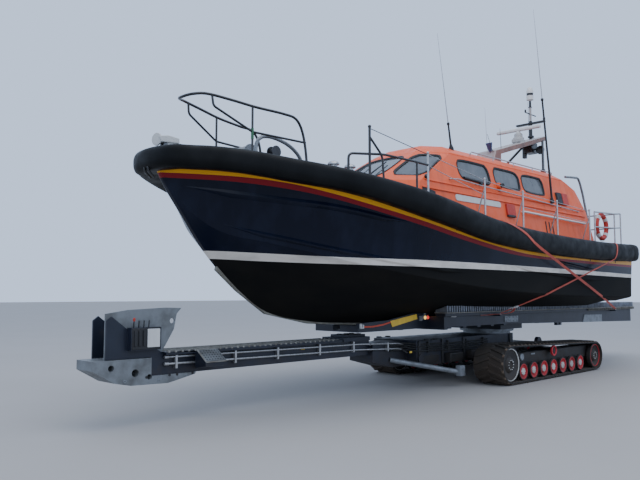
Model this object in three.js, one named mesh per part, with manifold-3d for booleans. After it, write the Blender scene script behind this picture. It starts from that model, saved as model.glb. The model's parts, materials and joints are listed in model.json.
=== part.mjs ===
// All-weather rescue lifeboat sitting on its tracked launching carriage.
// Millimetres. +X runs aft, +Y to starboard, +Z up. The ground is Z = 0.
import * as THREE from 'three';
import { ConvexGeometry } from 'three/addons/geometries/ConvexGeometry.js';
import { mergeVertices } from 'three/addons/utils/BufferGeometryUtils.js';
import Module from 'manifold-3d';

const wasm = await Module();
wasm.setup();

// Driving dimensions
const GAP = 0.3;
const SEAT = 0.3;
const NOSE_TIP_X = -9600;
const CRADLE_AFT_X = 7400;
const BOW_X = -8650;
const STERN_X = 4900;
const FENDER_OUT = 190;
const WALL = 60;
const RAIL_R = 19;

// Colours seen on the real boat and carriage
const COLOUR = {
  navy: 0x0d1526, black: 0x0a0b0d, orange: 0xd8572c, grey: 0x7d8288, glass: 0x4b5258,
  steel: 0xa9adb2, white: 0xd8d8d4, red: 0xb3202a, rubber: 0x17140f, chassis: 0x121a2e,
  galvanised: 0x8b9196, yellow: 0xe0b52a, strap: 0xb8301f, deck: 0x55595e, seat: 0x1b1c1f,
};

const object = new THREE.Group();
object.position.x = -(NOSE_TIP_X + CRADLE_AFT_X) / 2;

// A closed three.js geometry becomes a solid that can be joined and cut
function solid(geometry) {
  const bare = geometry.clone();
  bare.deleteAttribute('normal');
  bare.deleteAttribute('uv');
  const merged = mergeVertices(bare, 0.001);
  return new wasm.Manifold(new wasm.Mesh({
    numProp: 3,
    vertProperties: new Float32Array(merged.attributes.position.array),
    triVerts: new Uint32Array(merged.index.array),
  }));
}

function join(...parts) {
  return parts.flat().reduce((whole, part) => whole.add(part));
}

function cut(whole, ...tools) {
  return tools.flat().reduce((left, tool) => left.subtract(tool), whole);
}

// The same solid on the other side of the centreline
function mirrored(part) {
  const { vertProperties, triVerts } = part.getMesh();
  return new wasm.Manifold(new wasm.Mesh({
    numProp: 3,
    vertProperties: vertProperties.map((value, i) => (i % 3 === 1 ? -value : value)),
    triVerts: triVerts.map((value, i) => triVerts[i - (i % 3) + [0, 2, 1][i % 3]]),
  }));
}

function node(name, part, colour, roughness = 0.5, metalness = 0.1) {
  const { vertProperties, triVerts } = part.getMesh();
  const geometry = new THREE.BufferGeometry();
  geometry.setAttribute('position', new THREE.BufferAttribute(new Float32Array(vertProperties), 3));
  geometry.setIndex(new THREE.BufferAttribute(new Uint32Array(triVerts), 1));
  geometry.computeVertexNormals();
  const material = new THREE.MeshStandardMaterial({ color: colour, roughness, metalness });
  const mesh = new THREE.Mesh(geometry, material);
  mesh.name = name;
  object.add(mesh);
}

function box(x0, x1, y0, y1, z0, z1) {
  const geometry = new THREE.BoxGeometry(x1 - x0, y1 - y0, z1 - z0);
  geometry.translate((x0 + x1) / 2, (y0 + y1) / 2, (z0 + z1) / 2);
  return solid(geometry);
}

// A round bar from one point to another
function rod(from, to, radius, sides = 8) {
  const a = new THREE.Vector3(...from);
  const b = new THREE.Vector3(...to);
  const way = b.clone().sub(a);
  const geometry = new THREE.CylinderGeometry(radius, radius, way.length(), sides);
  const turn = new THREE.Quaternion().setFromUnitVectors(new THREE.Vector3(0, 1, 0), way.normalize());
  geometry.applyQuaternion(turn);
  geometry.translate((a.x + b.x) / 2, (a.y + b.y) / 2, (a.z + b.z) / 2);
  return solid(geometry);
}

function ball(centre, radius, wide = 8, high = 5) {
  const geometry = new THREE.SphereGeometry(radius, wide, high);
  geometry.translate(...centre);
  return solid(geometry);
}

// Rods joined through a row of points, each run a little long so that the corners meet
function rail(points, radius = RAIL_R, sides = 6) {
  return join(points.slice(1).map((point, i) => {
    const a = new THREE.Vector3(...points[i]);
    const b = new THREE.Vector3(...point);
    const spare = b.clone().sub(a).setLength(radius * 0.5);
    if (i > 0) a.sub(spare);
    if (i + 2 < points.length) b.add(spare);
    return rod(a.toArray(), b.toArray(), radius, sides);
  }));
}

// One smooth round tube through a row of points
function tube(points, radius, steps, sides = 8) {
  const path = new THREE.CatmullRomCurve3(points.map((point) => new THREE.Vector3(...point)), false, 'centripetal');
  const round = new THREE.Shape();
  for (let i = 0; i < sides; i += 1) {
    const a = 2 * Math.PI * i / sides;
    round[i === 0 ? 'moveTo' : 'lineTo'](radius * Math.cos(a), radius * Math.sin(a));
  }
  return solid(new THREE.ExtrudeGeometry(round, { steps, extrudePath: path }));
}

// A round solid turned about a line through centre along axis
function turned(profile, centre, axis, sides = 24) {
  const geometry = new THREE.LatheGeometry(profile.map(([r, h]) => new THREE.Vector2(r, h)), sides);
  const turn = new THREE.Quaternion().setFromUnitVectors(
    new THREE.Vector3(0, 1, 0), new THREE.Vector3(...axis).normalize());
  geometry.applyQuaternion(turn);
  geometry.translate(...centre);
  return solid(geometry);
}

function disc(centre, axis, radius, width, sides = 24) {
  return turned([[0, -width / 2], [radius, -width / 2], [radius, width / 2], [0, width / 2]],
    centre, axis, sides);
}

// A flat outline in X and Z pushed across from y0 to y1
function slab(outline, y0, y1) {
  const shape = new THREE.Shape(outline.map(([x, z]) => new THREE.Vector2(x, z)));
  const geometry = new THREE.ExtrudeGeometry(shape, { depth: y1 - y0, bevelEnabled: false });
  geometry.rotateX(Math.PI / 2);
  geometry.translate(0, y1, 0);
  return solid(geometry);
}

// Rings of equal count skinned into one closed solid, with its halves' diagonals mirrored
function loft(rings) {
  const count = rings[0].length;
  const position = rings.flat(2);
  const index = [];
  for (let r = 0; r + 1 < rings.length; r += 1) {
    for (let i = 0; i < count; i += 1) {
      const a = r * count + i;
      const b = r * count + (i + 1) % count;
      if (i < count / 2) index.push(a, b, b + count, a, b + count, a + count);
      else index.push(a, b, a + count, b, b + count, a + count);
    }
  }
  const last = (rings.length - 1) * count;
  for (let i = 1; i + 1 < count; i += 1) {
    index.push(0, i + 1, i);
    index.push(last, last + i, last + i + 1);
  }
  const geometry = new THREE.BufferGeometry();
  geometry.setAttribute('position', new THREE.BufferAttribute(new Float32Array(position), 3));
  geometry.setIndex(index);
  let made = solid(geometry);
  if (made.volume() < 0) {
    geometry.setIndex(index.map((value, i) => index[i - (i % 3) + [0, 2, 1][i % 3]]));
    made = solid(geometry);
  }
  return made;
}

function lerp(a, b, t) {
  return a + (b - a) * t;
}

// Hull sections: station, keel height, chine half-beam and height, deck half-beam and height
const HULL = [
  [-8560, 3830, 60, 3870, 190, 4000],
  [-8400, 3540, 80, 3590, 470, 3990],
  [-8100, 3140, 120, 3220, 780, 3975],
  [-7650, 2560, 400, 2850, 1110, 3930],
  [-7000, 1960, 820, 2680, 1440, 3840],
  [-6370, 1570, 1150, 2540, 1680, 3775],
  [-5350, 1380, 1520, 2340, 1920, 3660],
  [-4200, 1320, 1780, 2170, 2050, 3510],
  [-2300, 1280, 1930, 1990, 2080, 3225],
  [0, 1290, 1960, 1880, 2080, 3100],
  [2500, 1310, 1960, 1830, 2070, 3070],
  [4900, 1340, 1930, 1820, 2000, 3120],
];
const KEEL_HALF = 35;
const CHINE_FLAT = 45;

function hullAt(x) {
  let i = 0;
  while (i < HULL.length - 2 && x > HULL[i + 1][0]) i += 1;
  const t = (x - HULL[i][0]) / (HULL[i + 1][0] - HULL[i][0]);
  const [, keel, chineY, chineZ, deckY, deckZ] = HULL[i].map((value, k) => lerp(value, HULL[i + 1][k], t));
  return { keel, chineY, chineZ, deckY, deckZ };
}

function deckZ(x) {
  return hullAt(x).deckZ;
}

function deckY(x) {
  return hullAt(x).deckY;
}

// A seat for other pieces grows the hull by off, and more at the flared sides so that it covers them
function hullRing([x, keel, chineY, chineZ, edgeY, edgeZ], off) {
  const out = off * 2.5;
  const keelY = Math.min(KEEL_HALF, chineY * 0.4);
  const ledge = Math.min(CHINE_FLAT, chineY * 0.3);
  const side = [
    [keelY + off, keel - off],
    [chineY - ledge + out, chineZ - 35 - off],
    [chineY + out, chineZ],
    [lerp(chineY, edgeY, 0.42) + out, lerp(chineZ, edgeZ, 0.55)],
    [edgeY + out, edgeZ + off],
  ];
  const port = side.map(([y, z]) => [x, -y, z]).reverse();
  const starboard = side.map(([y, z]) => [x, y, z]);
  return [...starboard, ...port];
}

function hullBody(off) {
  const rows = HULL.map((row) => [...row]);
  rows[0][0] -= off;
  rows[rows.length - 1][0] += off;
  return loft(rows.map((row) => hullRing(row, off)));
}

// Waterjets sit in a recess under the stern
const JET = { y: 760, z: 1790, recessX: 4150, recessHalf: 1500, recessTop: 2260, bore: 210, plateHalf: 330 };
const jetRecess = box(JET.recessX, STERN_X + 60, -JET.recessHalf, JET.recessHalf, 1000, JET.recessTop);
const hullPlain = hullBody(0);
const hullSkin = hullBody(SEAT);
const hullCut = cut(hullSkin, box(JET.recessX + GAP, STERN_X + 60, -JET.recessHalf + GAP,
  JET.recessHalf - GAP, 1000, JET.recessTop - GAP));
const HATCH = { x0: -6350, x1: -5750, half: 300, rise: 90 };
const AFT_HATCH = { x0: 3760, x1: 4440, half: 420, rise: 60 };
const coamings = [HATCH, AFT_HATCH].map(({ x0, x1, half, rise }) => box(x0, x1, -half, half, 3000,
  Math.max(deckZ(x0), deckZ(x1)) + rise));
node('hull', join(cut(hullPlain, jetRecess), coamings), COLOUR.navy, 0.35);

function onHull(part) {
  return part.subtract(hullCut);
}

// Fender belt round the whole deck edge, deeper from amidships aft
const FENDER_DEPTH = { fore: 345, aft: 450, deepens: [-6500, -4000] };
const FENDER_X = [-8260, -8100, -7880, -7650, -7330, -7000, -6370, -5350, -4200, -2300, 0, 2500, 4600, 4900];

function fenderDepth(x) {
  const [start, end] = FENDER_DEPTH.deepens;
  const share = Math.min(Math.max((x - start) / (end - start), 0), 1);
  return lerp(FENDER_DEPTH.fore, FENDER_DEPTH.aft, share);
}

function fenderRing(x, side) {
  const half = deckY(x);
  const ahead = deckY(Math.max(x - 60, HULL[0][0]));
  const astern = deckY(Math.min(x + 60, STERN_X));
  const slope = (astern - ahead) / 120;
  const length = Math.hypot(1, slope);
  const out = [-slope / length, 1 / length];
  const top = deckZ(x) + 75;
  const depth = fenderDepth(x);
  const profile = [
    [-50, 0], [70, 0], [150, -45], [FENDER_OUT, -depth * 0.35], [FENDER_OUT, -depth * 0.6],
    [140, -depth * 0.88], [60, -depth], [-50, -depth * 0.9],
  ];
  return profile.map(([o, z]) => [x + out[0] * o, side * (half + out[1] * o), top + z]);
}

function bowRing(angle) {
  const centreX = -8400;
  const half = deckY(centreX);
  const top = deckZ(-8500) + 75;
  const depth = fenderDepth(BOW_X);
  const profile = [
    [-50, 0], [70, 0], [150, -45], [FENDER_OUT, -depth * 0.35], [FENDER_OUT, -depth * 0.6],
    [140, -depth * 0.88], [60, -depth], [-50, -depth * 0.9],
  ];
  const across = half * Math.sin(angle);
  const fore = -170 * Math.cos(angle);
  const out = new THREE.Vector2(-Math.cos(angle) * half, Math.sin(angle) * 170).normalize();
  return profile.map(([o, z]) => [centreX + fore + out.x * o, across + out.y * o, top + z]);
}

const fenderRings = [
  ...FENDER_X.slice().reverse().map((x) => fenderRing(x, -1)),
  ...[-75, -50, -25, 0, 25, 50, 75].map((deg) => bowRing(deg * Math.PI / 180)),
  ...FENDER_X.map((x) => fenderRing(x, 1)),
];
const fender = onHull(loft(fenderRings));
node('fender_belt', fender, COLOUR.black, 0.45);

// Bottom bar under the stem and keel
const STEM_BAR = [[-7420, 2270], [-6990, 1930], [-6370, 1540], [-5350, 1345], [-4200, 1287], [-2300, 1250],
  [2400, 1272]];
const stemOutline = [...STEM_BAR.map(([x, z]) => [x - 12, z - 8]),
  ...STEM_BAR.slice().reverse().map(([x, z]) => [x + 30, z + 110])];
const stemBar = onHull(slab(stemOutline, -KEEL_HALF + 2, KEEL_HALF - 2));
node('stem_and_keel_bar', stemBar, COLOUR.grey, 0.55);

// Wheelhouse as a hull of points: level, front X and half-width, corner X and half-width, aft X and half-width
const HOUSE = [
  { z: 2900, front: [-4880, 720], corner: [-4050, 1330], aft: [4080, 1420] },
  { z: 4060, front: [-4120, 680], corner: [-3480, 1180], aft: [3780, 1240] },
  { z: 4600, front: [-3180, 610], corner: [-2560, 1050], aft: [3390, 1130] },
  { z: 4830, front: [-2790, 580], corner: [-2180, 980], aft: [2740, 1080] },
  { z: 5010, front: [-2450, 430], corner: [-2050, 700], aft: [2560, 800] },
];
const ROOF_SPLIT = 4790;
const BULKHEAD_X = 2560;

function housePoints(off, aftReach) {
  const points = [];
  for (const { z, front, corner, aft } of HOUSE) {
    const level = z === HOUSE[HOUSE.length - 1].z ? z - off : z;
    for (const side of [-1, 1]) {
      points.push(new THREE.Vector3(front[0] + off * 1.4, side * (front[1] - off * 0.5), level));
      points.push(new THREE.Vector3(corner[0] + off * 0.7, side * (corner[1] - off), level));
      points.push(new THREE.Vector3(aftReach ?? aft[0], side * (aft[1] - off), level));
    }
  }
  return points;
}

function house(off, aftReach) {
  return solid(new ConvexGeometry(housePoints(off, aftReach)));
}

// Four corners of a facet between two levels, then a rounded opening placed on it by fractions
function facetOpening([p00, p10, p11, p01], [s0, s1, t0, t1], trim, reach) {
  const at = (s, t) => new THREE.Vector3().copy(p00).multiplyScalar((1 - s) * (1 - t))
    .addScaledVector(p10, s * (1 - t)).addScaledVector(p11, s * t).addScaledVector(p01, (1 - s) * t);
  const along = p10.clone().sub(p00).normalize();
  const up = p01.clone().sub(p00).normalize();
  const normal = along.clone().cross(up).normalize();
  const inset = 0.16;
  const ds = (s1 - s0) * inset;
  const dt = (t1 - t0) * inset;
  const outline = [[s0 + ds, t0], [s1 - ds, t0], [s1, t0 + dt], [s1, t1 - dt], [s1 - ds, t1], [s0 + ds, t1],
    [s0, t1 - dt], [s0, t0 + dt]].map(([s, t]) => at(s, t));
  const middle = outline.reduce((sum, p) => sum.add(p), new THREE.Vector3()).divideScalar(outline.length);
  const ring = (depth) => outline.map((p) => {
    const q = middle.clone().add(p.clone().sub(middle).multiplyScalar(1 - trim)).addScaledVector(normal, depth);
    return [q.x, q.y, q.z];
  });
  return loft([ring(-reach), ring(reach)]);
}

function corners(side, low, high, from, to) {
  const at = (level, key) => new THREE.Vector3(level[key][0], side * level[key][1], level.z);
  return [at(low, from), at(low, to), at(high, to), at(high, from)];
}

const upLow = HOUSE[1];
const upHigh = HOUSE[3];
const WINDSCREEN = [
  new THREE.Vector3(upLow.front[0], -upLow.front[1], upLow.z),
  new THREE.Vector3(upLow.front[0], upLow.front[1], upLow.z),
  new THREE.Vector3(upHigh.front[0], upHigh.front[1], upHigh.z),
  new THREE.Vector3(upHigh.front[0], -upHigh.front[1], upHigh.z),
];
const SIDE_WINDOWS = [['mid', -2060, -880], ['after', -660, 420], ['aftmost', 560, 1600]];
const SILL = 4270;
const HEAD = 4700;

function sideOpening(side, x0, x1, trim) {
  const r = 110;
  const [a, b, c, d] = [x0 + trim, x1 - trim, SILL + trim, HEAD - trim];
  const outline = [[a + r, c], [b - r * 0.5, c], [b, c + r * 0.6], [b, d - r], [b - r, d], [a + r, d], [a, d - r],
    [a, c + r]];
  const ring = (y) => outline.map(([x, z]) => [x, y, z]);
  return side < 0 ? loft([ring(-1500), ring(-800)]) : loft([ring(800), ring(1500)]);
}

function openings(trimShare, trim) {
  const list = [{ name: 'windscreen', tool: facetOpening(WINDSCREEN, [0.08, 0.92, 0.12, 0.86], trimShare, 260) }];
  for (const [sideName, side] of [['port', -1], ['starboard', 1]]) {
    list.push({
      name: `${sideName}_corner`,
      tool: facetOpening(corners(side, upLow, upHigh, 'front', 'corner'), [0.1, 0.94, 0.16, 0.86], trimShare, 260),
    });
    for (const [name, x0, x1] of SIDE_WINDOWS) {
      list.push({ name: `${sideName}_${name}`, tool: sideOpening(side, x0, x1, trim) });
    }
  }
  return list;
}

const houseOuter = house(0);
const houseInner = house(WALL, 5200);
const holes = openings(0, 0).map(({ tool }) => tool);
const tall = box(-6000, 6000, -2000, 2000, ROOF_SPLIT, 6000);
const low = box(-6000, 6000, -2000, 2000, 2000, ROOF_SPLIT - GAP);
const shell = cut(houseOuter, houseInner);
node('wheelhouse_shell', onHull(cut(shell.intersect(low), holes)), COLOUR.orange, 0.5);
node('wheelhouse_roof', shell.intersect(tall), COLOUR.orange, 0.5);
const glassLayer = cut(house(20), house(32, 5200));
for (const { name, tool } of openings(0.0006, GAP)) {
  node(`${name}_pane`, glassLayer.intersect(tool).intersect(low), COLOUR.glass, 0.15);
}

// Aft bulkhead with the doorway, and the door on its port edge
const DOOR = { y0: -330, y1: 330, z0: 3230, z1: 4640, thick: 50 };
const bulkheadSlice = house(WALL + GAP, 5200).intersect(
  box(BULKHEAD_X, BULKHEAD_X + WALL, -2000, 2000, 2800, 6000));
const doorway = box(BULKHEAD_X - 50, BULKHEAD_X + WALL + 50, DOOR.y0, DOOR.y1, DOOR.z0, DOOR.z1);
const leafX = BULKHEAD_X + WALL + 8;
const pinY = DOOR.y0 - 25;
const BARRELS = [3380, 3900, 4420];
const lugs = BARRELS.flatMap((z) => [[z - 30, z - GAP], [z + 90 + GAP, z + 120]]).map(
  ([z0, z1]) => box(BULKHEAD_X + WALL - 10, leafX + DOOR.thick, pinY - 40, pinY - 5.5, z0, z1));
node('aft_bulkhead', onHull(join(cut(bulkheadSlice, doorway), lugs)), COLOUR.orange, 0.5);
const doorLeaf = join(
  box(leafX, leafX + DOOR.thick, pinY, DOOR.y1 + 25, DOOR.z0 - 25, DOOR.z1 + 25),
  box(leafX + 40, leafX + 87, DOOR.y1 - 90, DOOR.y1 - 60, 3850, 4000),
  BARRELS.map((z) => rod([leafX + DOOR.thick, pinY, z], [leafX + DOOR.thick, pinY, z + 90], 14, 10)),
);
node('aft_door', doorLeaf, COLOUR.orange, 0.5);

// Inside: the helm console, and six seats on two rails along the floor
node('helm_console', onHull(slab([[-2900, 3000], [-2350, 3000], [-2250, 4050], [-2500, 4200], [-2900, 4100]],
  -850, 850)), COLOUR.seat, 0.7);
const SEAT_ROWS = [-1500, -200, 1100];
const SEAT_Y = 560;
const seatParts = [];
for (const y of [-SEAT_Y, SEAT_Y]) {
  for (const x of SEAT_ROWS) {
    seatParts.push(box(x - 120, x + 160, y - 110, y + 110, 3100, 3560));
    seatParts.push(box(x - 260, x + 240, y - 240, y + 240, 3560, 3680));
    seatParts.push(slab([[x + 190, 3600], [x + 300, 3620], [x + 400, 4330], [x + 290, 4340]], y - 220, y + 220));
  }
  seatParts.push(slab([[-1700, deckZ(-1700)], [0, deckZ(0)], [1400, deckZ(1400)], [1400, deckZ(1400) + 40],
    [0, deckZ(0) + 40], [-1700, deckZ(-1700) + 40]], y - 40, y + 40));
}
seatParts.push(box(-160, -80, -SEAT_Y, SEAT_Y, 3120, 3210));
node('crew_seats', onHull(join(seatParts)), COLOUR.seat, 0.8);

// Hinged lids over the two coamings
function lid(name, { x0, x1, half, rise }) {
  const top = Math.max(deckZ(x0), deckZ(x1)) + rise;
  node(name, join(
    box(x0 - 25, x1 + 25, -half - 25, half + 25, top + GAP, top + 40),
    [-half * 0.6, half * 0.6].map((y) => rod([x1 + 25, y - 40, top + 18], [x1 + 25, y + 40, top + 18], 14, 10)),
  ), COLOUR.deck, 0.7);
}
lid('foredeck_hatch_lid', HATCH);
lid('aft_hatch_lid', AFT_HATCH);

// Pulpit: black tube hoop on the bow, X aft, half-width, height
const PULPIT = [[-8110, 0, 4970], [-8050, 170, 4990], [-7870, 300, 5010], [-7450, 410, 4970], [-7030, 500, 4920],
  [-6450, 600, 4885], [-6200, 590, 4850], [-6050, 585, 4650], [-5970, 600, 4200], [-5950, 600, 3640]];
const hoop = [...PULPIT.slice(1).reverse().map(([x, y, z]) => [x, -y, z]), ...PULPIT];
const LOWER_RAIL = [[-7770, 330, 5000], [-7750, 340, 4830], [-7080, 490, 4500], [-5990, 598, 4475]];
const posts = [-1, 1].flatMap((side) => [
  rod([-7080, side * 490, deckZ(-7080) - 40], [-7080, side * 490, 4922], RAIL_R),
  rail(LOWER_RAIL.map(([x, y, z]) => [x, side * y, z])),
]);
const pulpit = onHull(join(tube(hoop, RAIL_R + 4, 30, 6), posts));
node('pulpit', pulpit, COLOUR.black, 0.4, 0.4);

// Guard rails each side: a black frame forward, then steel stanchions with wires, and a tubed stern corner
const SIDE_Y = 1840;
function edge(x) {
  return Math.min(deckY(x) - 110, SIDE_Y);
}
const WIRE_R = 9;
const MID_WIRE = 330;
const FRAME_POST = [-5640, 4620];
const STANCHIONS = [[-4150, 4390], [-2260, 4150], [-740, 4060], [850, 4010], [2600, 3960]];
for (const [sideName, side] of [['port', -1], ['starboard', 1]]) {
  const at = (x, z) => [x, side * edge(x), z];
  const foot = (x) => at(x, deckZ(x) - 20);
  const knob = (x, z) => ball(at(x, z), RAIL_R * 1.3, 6, 4);
  const [[endX, endZ], ...lineTops] = STANCHIONS;
  const [postX, postZ] = FRAME_POST;
  const frame = join(
    rail([foot(-6050), at(-6050, 4130), at(-5340, 4190), at(-4480, 4180), at(endX, 4170)]),
    rod(foot(postX), at(postX, postZ), RAIL_R + 3),
    rail([at(postX, postZ - 170), at(-5380, 4160), foot(-5340)]),
    rod(foot(-4480), at(-4480, 4180), RAIL_R),
    rod(foot(endX), at(endX, endZ), RAIL_R),
    knob(endX, endZ),
    rod(at(postX, postZ - 30), at(endX, endZ - 30), WIRE_R, 6),
  );
  node(`${sideName}_bow_frame`, onHull(frame), COLOUR.black, 0.4, 0.4);
  const line = lineTops.map(([x, z]) => join(rod(foot(x), at(x, z), RAIL_R, 6), knob(x, z)));
  const clearX = endX + RAIL_R + WIRE_R * 0.2;
  const [nextX, nextZ] = lineTops[0];
  const wires = [
    rod(at(clearX, endZ - 30), at(nextX, nextZ - 30), WIRE_R, 6),
    rod(at(clearX, 4160), at(nextX, nextZ - MID_WIRE), WIRE_R, 6),
  ];
  for (let i = 1; i < lineTops.length; i += 1) {
    const [xa, za] = lineTops[i - 1];
    const [xb, zb] = lineTops[i];
    wires.push(rod(at(xa, za - 30), at(xb, zb - 30), WIRE_R, 6));
    if (i > 1) wires.push(rod(at(xa, za - MID_WIRE), at(xb, zb - MID_WIRE), WIRE_R, 6));
  }
  node(`${sideName}_guard_rail`, onHull(join(line, wires)), COLOUR.steel, 0.35, 0.8);
}

// Stern rail round the quarters
const sternParts = [];
for (const side of [-1, 1]) {
  const path = [[2900, 3940], [4150, 3990], [4560, 4030]];
  sternParts.push(rail(path.map(([x, z]) => [x, side * edge(x), z])));
  sternParts.push(rail(path.map(([x, z]) => [x, side * edge(x), z - 380])));
  for (const [x, z] of path) {
    sternParts.push(rod([x, side * edge(x), deckZ(x) - 20], [x, side * edge(x), z], RAIL_R, 6));
  }
}
sternParts.push(rod([4560, -edge(4560), 4030], [4560, edge(4560), 4030], RAIL_R));
sternParts.push(rod([4560, -edge(4560), 3650], [4560, edge(4560), 3650], RAIL_R));
sternParts.push(rod([4560, 0, deckZ(4560) - 20], [4560, 0, 4030], RAIL_R));
node('stern_rail', onHull(cut(join(sternParts), houseOuter)), COLOUR.steel, 0.35, 0.8);

// Life ring on the port stern rail
const ringProfile = new THREE.TorusGeometry(300, 60, 8, 20);
ringProfile.rotateX(Math.PI / 2);
ringProfile.translate(3500, -edge(3500) + 58 + RAIL_R, 3610);
node('life_ring', solid(ringProfile), COLOUR.red, 0.6);

// Mast platform rising aft from the roof, on two struts
const MAST = { x0: 900, z0: 5395, x1: 3590, z1: 6260, half: 270, thick: 130 };
const roofTop = HOUSE[4].z;
const platform = slab([[MAST.x0 - 150, roofTop + GAP], [MAST.x0 + 250, roofTop + GAP], [MAST.x0 + 260, MAST.z0],
  [MAST.x1, MAST.z1 - MAST.thick], [MAST.x1, MAST.z1], [MAST.x0, MAST.z0 + 60]], -MAST.half, MAST.half);
const struts = [-1, 1].map((side) => join(
  rod([MAST.x1 - 120, side * 220, MAST.z1 - 100], [2440, side * 735, 5020], 34, 8),
  box(2380, 2500, side * 735 - 50, side * 735 + 50, roofTop + GAP, 5070),
));
const POLE = { x: 3240, top: 7050, r: 45 };
const pole = join(rod([POLE.x, 0, 6060], [POLE.x, 0, POLE.top], POLE.r, 10),
  box(POLE.x - 60, POLE.x + 60, -420, 420, 6560, 6620));
const RADAR = { x: 2540, z: 6190, span: 640 };
const pedestal = join(
  disc([RADAR.x, 0, 5990], [0, 0, 1], 150, 260, 16),
  disc([RADAR.x, 0, RADAR.z - 60], [0, 0, 1], 110, 120, 16),
);
node('mast_frame', cut(join(platform, struts, pole, pedestal), house(-SEAT)), COLOUR.grey, 0.5, 0.3);
const scannerZ = RADAR.z + GAP;
node('radar_scanner', join(
  disc([RADAR.x, 0, scannerZ + 40], [0, 0, 1], 60, 80, 16),
  box(RADAR.x - 55, RADAR.x + 55, -RADAR.span, RADAR.span, scannerZ + 60, scannerZ + 150),
), COLOUR.white, 0.4);
node('beacon_lantern', join(
  disc([POLE.x, 0, POLE.top + GAP + 100], [0, 0, 1], 40, 200, 10),
  disc([POLE.x, 0, POLE.top + GAP + 350], [0, 0, 1], 95, 300, 12),
  ball([POLE.x, 0, POLE.top + GAP + 500], 90),
), COLOUR.white, 0.4);

// Whip aerials: foot X, Y, Z then tip X, Y, Z
const WHIPS = [['port_long_whip', [1850, -1240, 4150], [1290, -1160, 8920]],
  ['port_fore_whip', [-1768, -740, 4990], [-2228, -740, 7440]],
  ['starboard_whip', [2200, 720, 5000], [2060, 720, 6950]]];
for (const [name, foot, tip] of WHIPS) {
  const a = new THREE.Vector3(...foot);
  const b = new THREE.Vector3(...tip);
  const knee = a.clone().lerp(b, 0.4);
  const lift = a.clone().lerp(b, -0.02);
  const whip = join(
    rod(lift.toArray(), knee.toArray(), 24, 8), rod(knee.toArray(), b.toArray(), 10, 6), ball(foot, 60));
  node(name, cut(whip, house(-SEAT)), COLOUR.black, 0.5);
}

// Bow gear: windlass with a curved arm beside it, bow roller and mushroom vents
const WINDLASS = { x: -6870, armY: -400 };
node('windlass', onHull(join(
  box(WINDLASS.x - 180, WINDLASS.x + 170, -170, 170, 3600, 4130),
  disc([WINDLASS.x, 0, 4230], [0, 1, 0], 150, 420, 16),
  rail([[WINDLASS.x - 50, WINDLASS.armY, 4130], [WINDLASS.x - 50, WINDLASS.armY, 4480], [-6500, WINDLASS.armY, 4500],
    [-6120, WINDLASS.armY, 4390], [-5880, WINDLASS.armY, 4180], [-5840, WINDLASS.armY, 3600]], 32, 8),
  rod([WINDLASS.x - 50, WINDLASS.armY, 4160], [WINDLASS.x - 50, 0, 4160], 32, 8),
)), COLOUR.galvanised, 0.5, 0.6);
node('bow_roller', onHull(join(
  box(-8450, -7850, -60, -30, 3850, 4200),
  box(-8450, -7850, 30, 60, 3850, 4200),
  rod([-8380, -60, 4130], [-8380, 60, 4130], 45, 12),
  rod([-7950, -60, 4130], [-7950, 60, 4130], 25, 10),
)).subtract(fender), COLOUR.grey, 0.5, 0.6);
const VENTS = [[-5970, 1250], [-5570, 1250]];
const VENT_TOP = 4070;
for (const [sideName, side] of [['port', -1], ['starboard', 1]]) {
  const base = slab([[-6080, 3600], [-5460, 3500], [-5460, deckZ(-5460) + 30], [-6080, deckZ(-6080) + 30]],
    Math.min(side * 1140, side * 1360), Math.max(side * 1140, side * 1360));
  node(`${sideName}_deck_vents`, onHull(join(base, VENTS.map(([x, y]) => join(
    rod([x, side * y, 3550], [x, side * y, VENT_TOP - 40], 60, 12),
    disc([x, side * y, VENT_TOP - 30], [0, 0, 1], 100, 60, 16),
  )))), COLOUR.steel, 0.5, 0.4);
}

// Waterjets: each side a housing on its plate, a steering nozzle and a reversing bucket
const NOZZLE = { x: JET.recessX + 390, long: 250 };
const BUCKET = { armY: 262, armThick: 20, pinX: 400, pinZ: 0 };
for (const [sideName, side] of [['port', -1], ['starboard', 1]]) {
  const y = side * JET.y;
  const [inner, outer] = [y - JET.plateHalf, y + JET.plateHalf];
  const housings = [
    box(JET.recessX + GAP, JET.recessX + 40, inner, outer, JET.z - 190, JET.z + 330),
    disc([JET.recessX + 170, y, JET.z], [1, 0, 0], JET.bore + 30, 260, 20),
  ];
  for (const arm of [-1, 1]) {
    const from = y + arm * (BUCKET.armY - 45);
    const to = y + arm * (BUCKET.armY - 15);
    housings.push(box(JET.recessX + 200, JET.recessX + BUCKET.pinX + 30, Math.min(from, to), Math.max(from, to),
      JET.z - 45, JET.z + 45));
    housings.push(rod([JET.recessX + BUCKET.pinX, from, JET.z],
      [JET.recessX + BUCKET.pinX, y + arm * (BUCKET.armY + BUCKET.armThick + 12), JET.z], 15, 12));
  }
  for (const up of [-1, 1]) {
    housings.push(box(JET.recessX + 200, NOZZLE.x + 60, y - 40, y + 40, JET.z + up * 235 - 12, JET.z + up * 235 + 12));
  }
  const bore = disc([JET.recessX + 200, y, JET.z], [1, 0, 0], 150, 400, 20);
  node(`${sideName}_jet_housing`, cut(join(housings), bore), COLOUR.grey, 0.4, 0.7);
}
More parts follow.
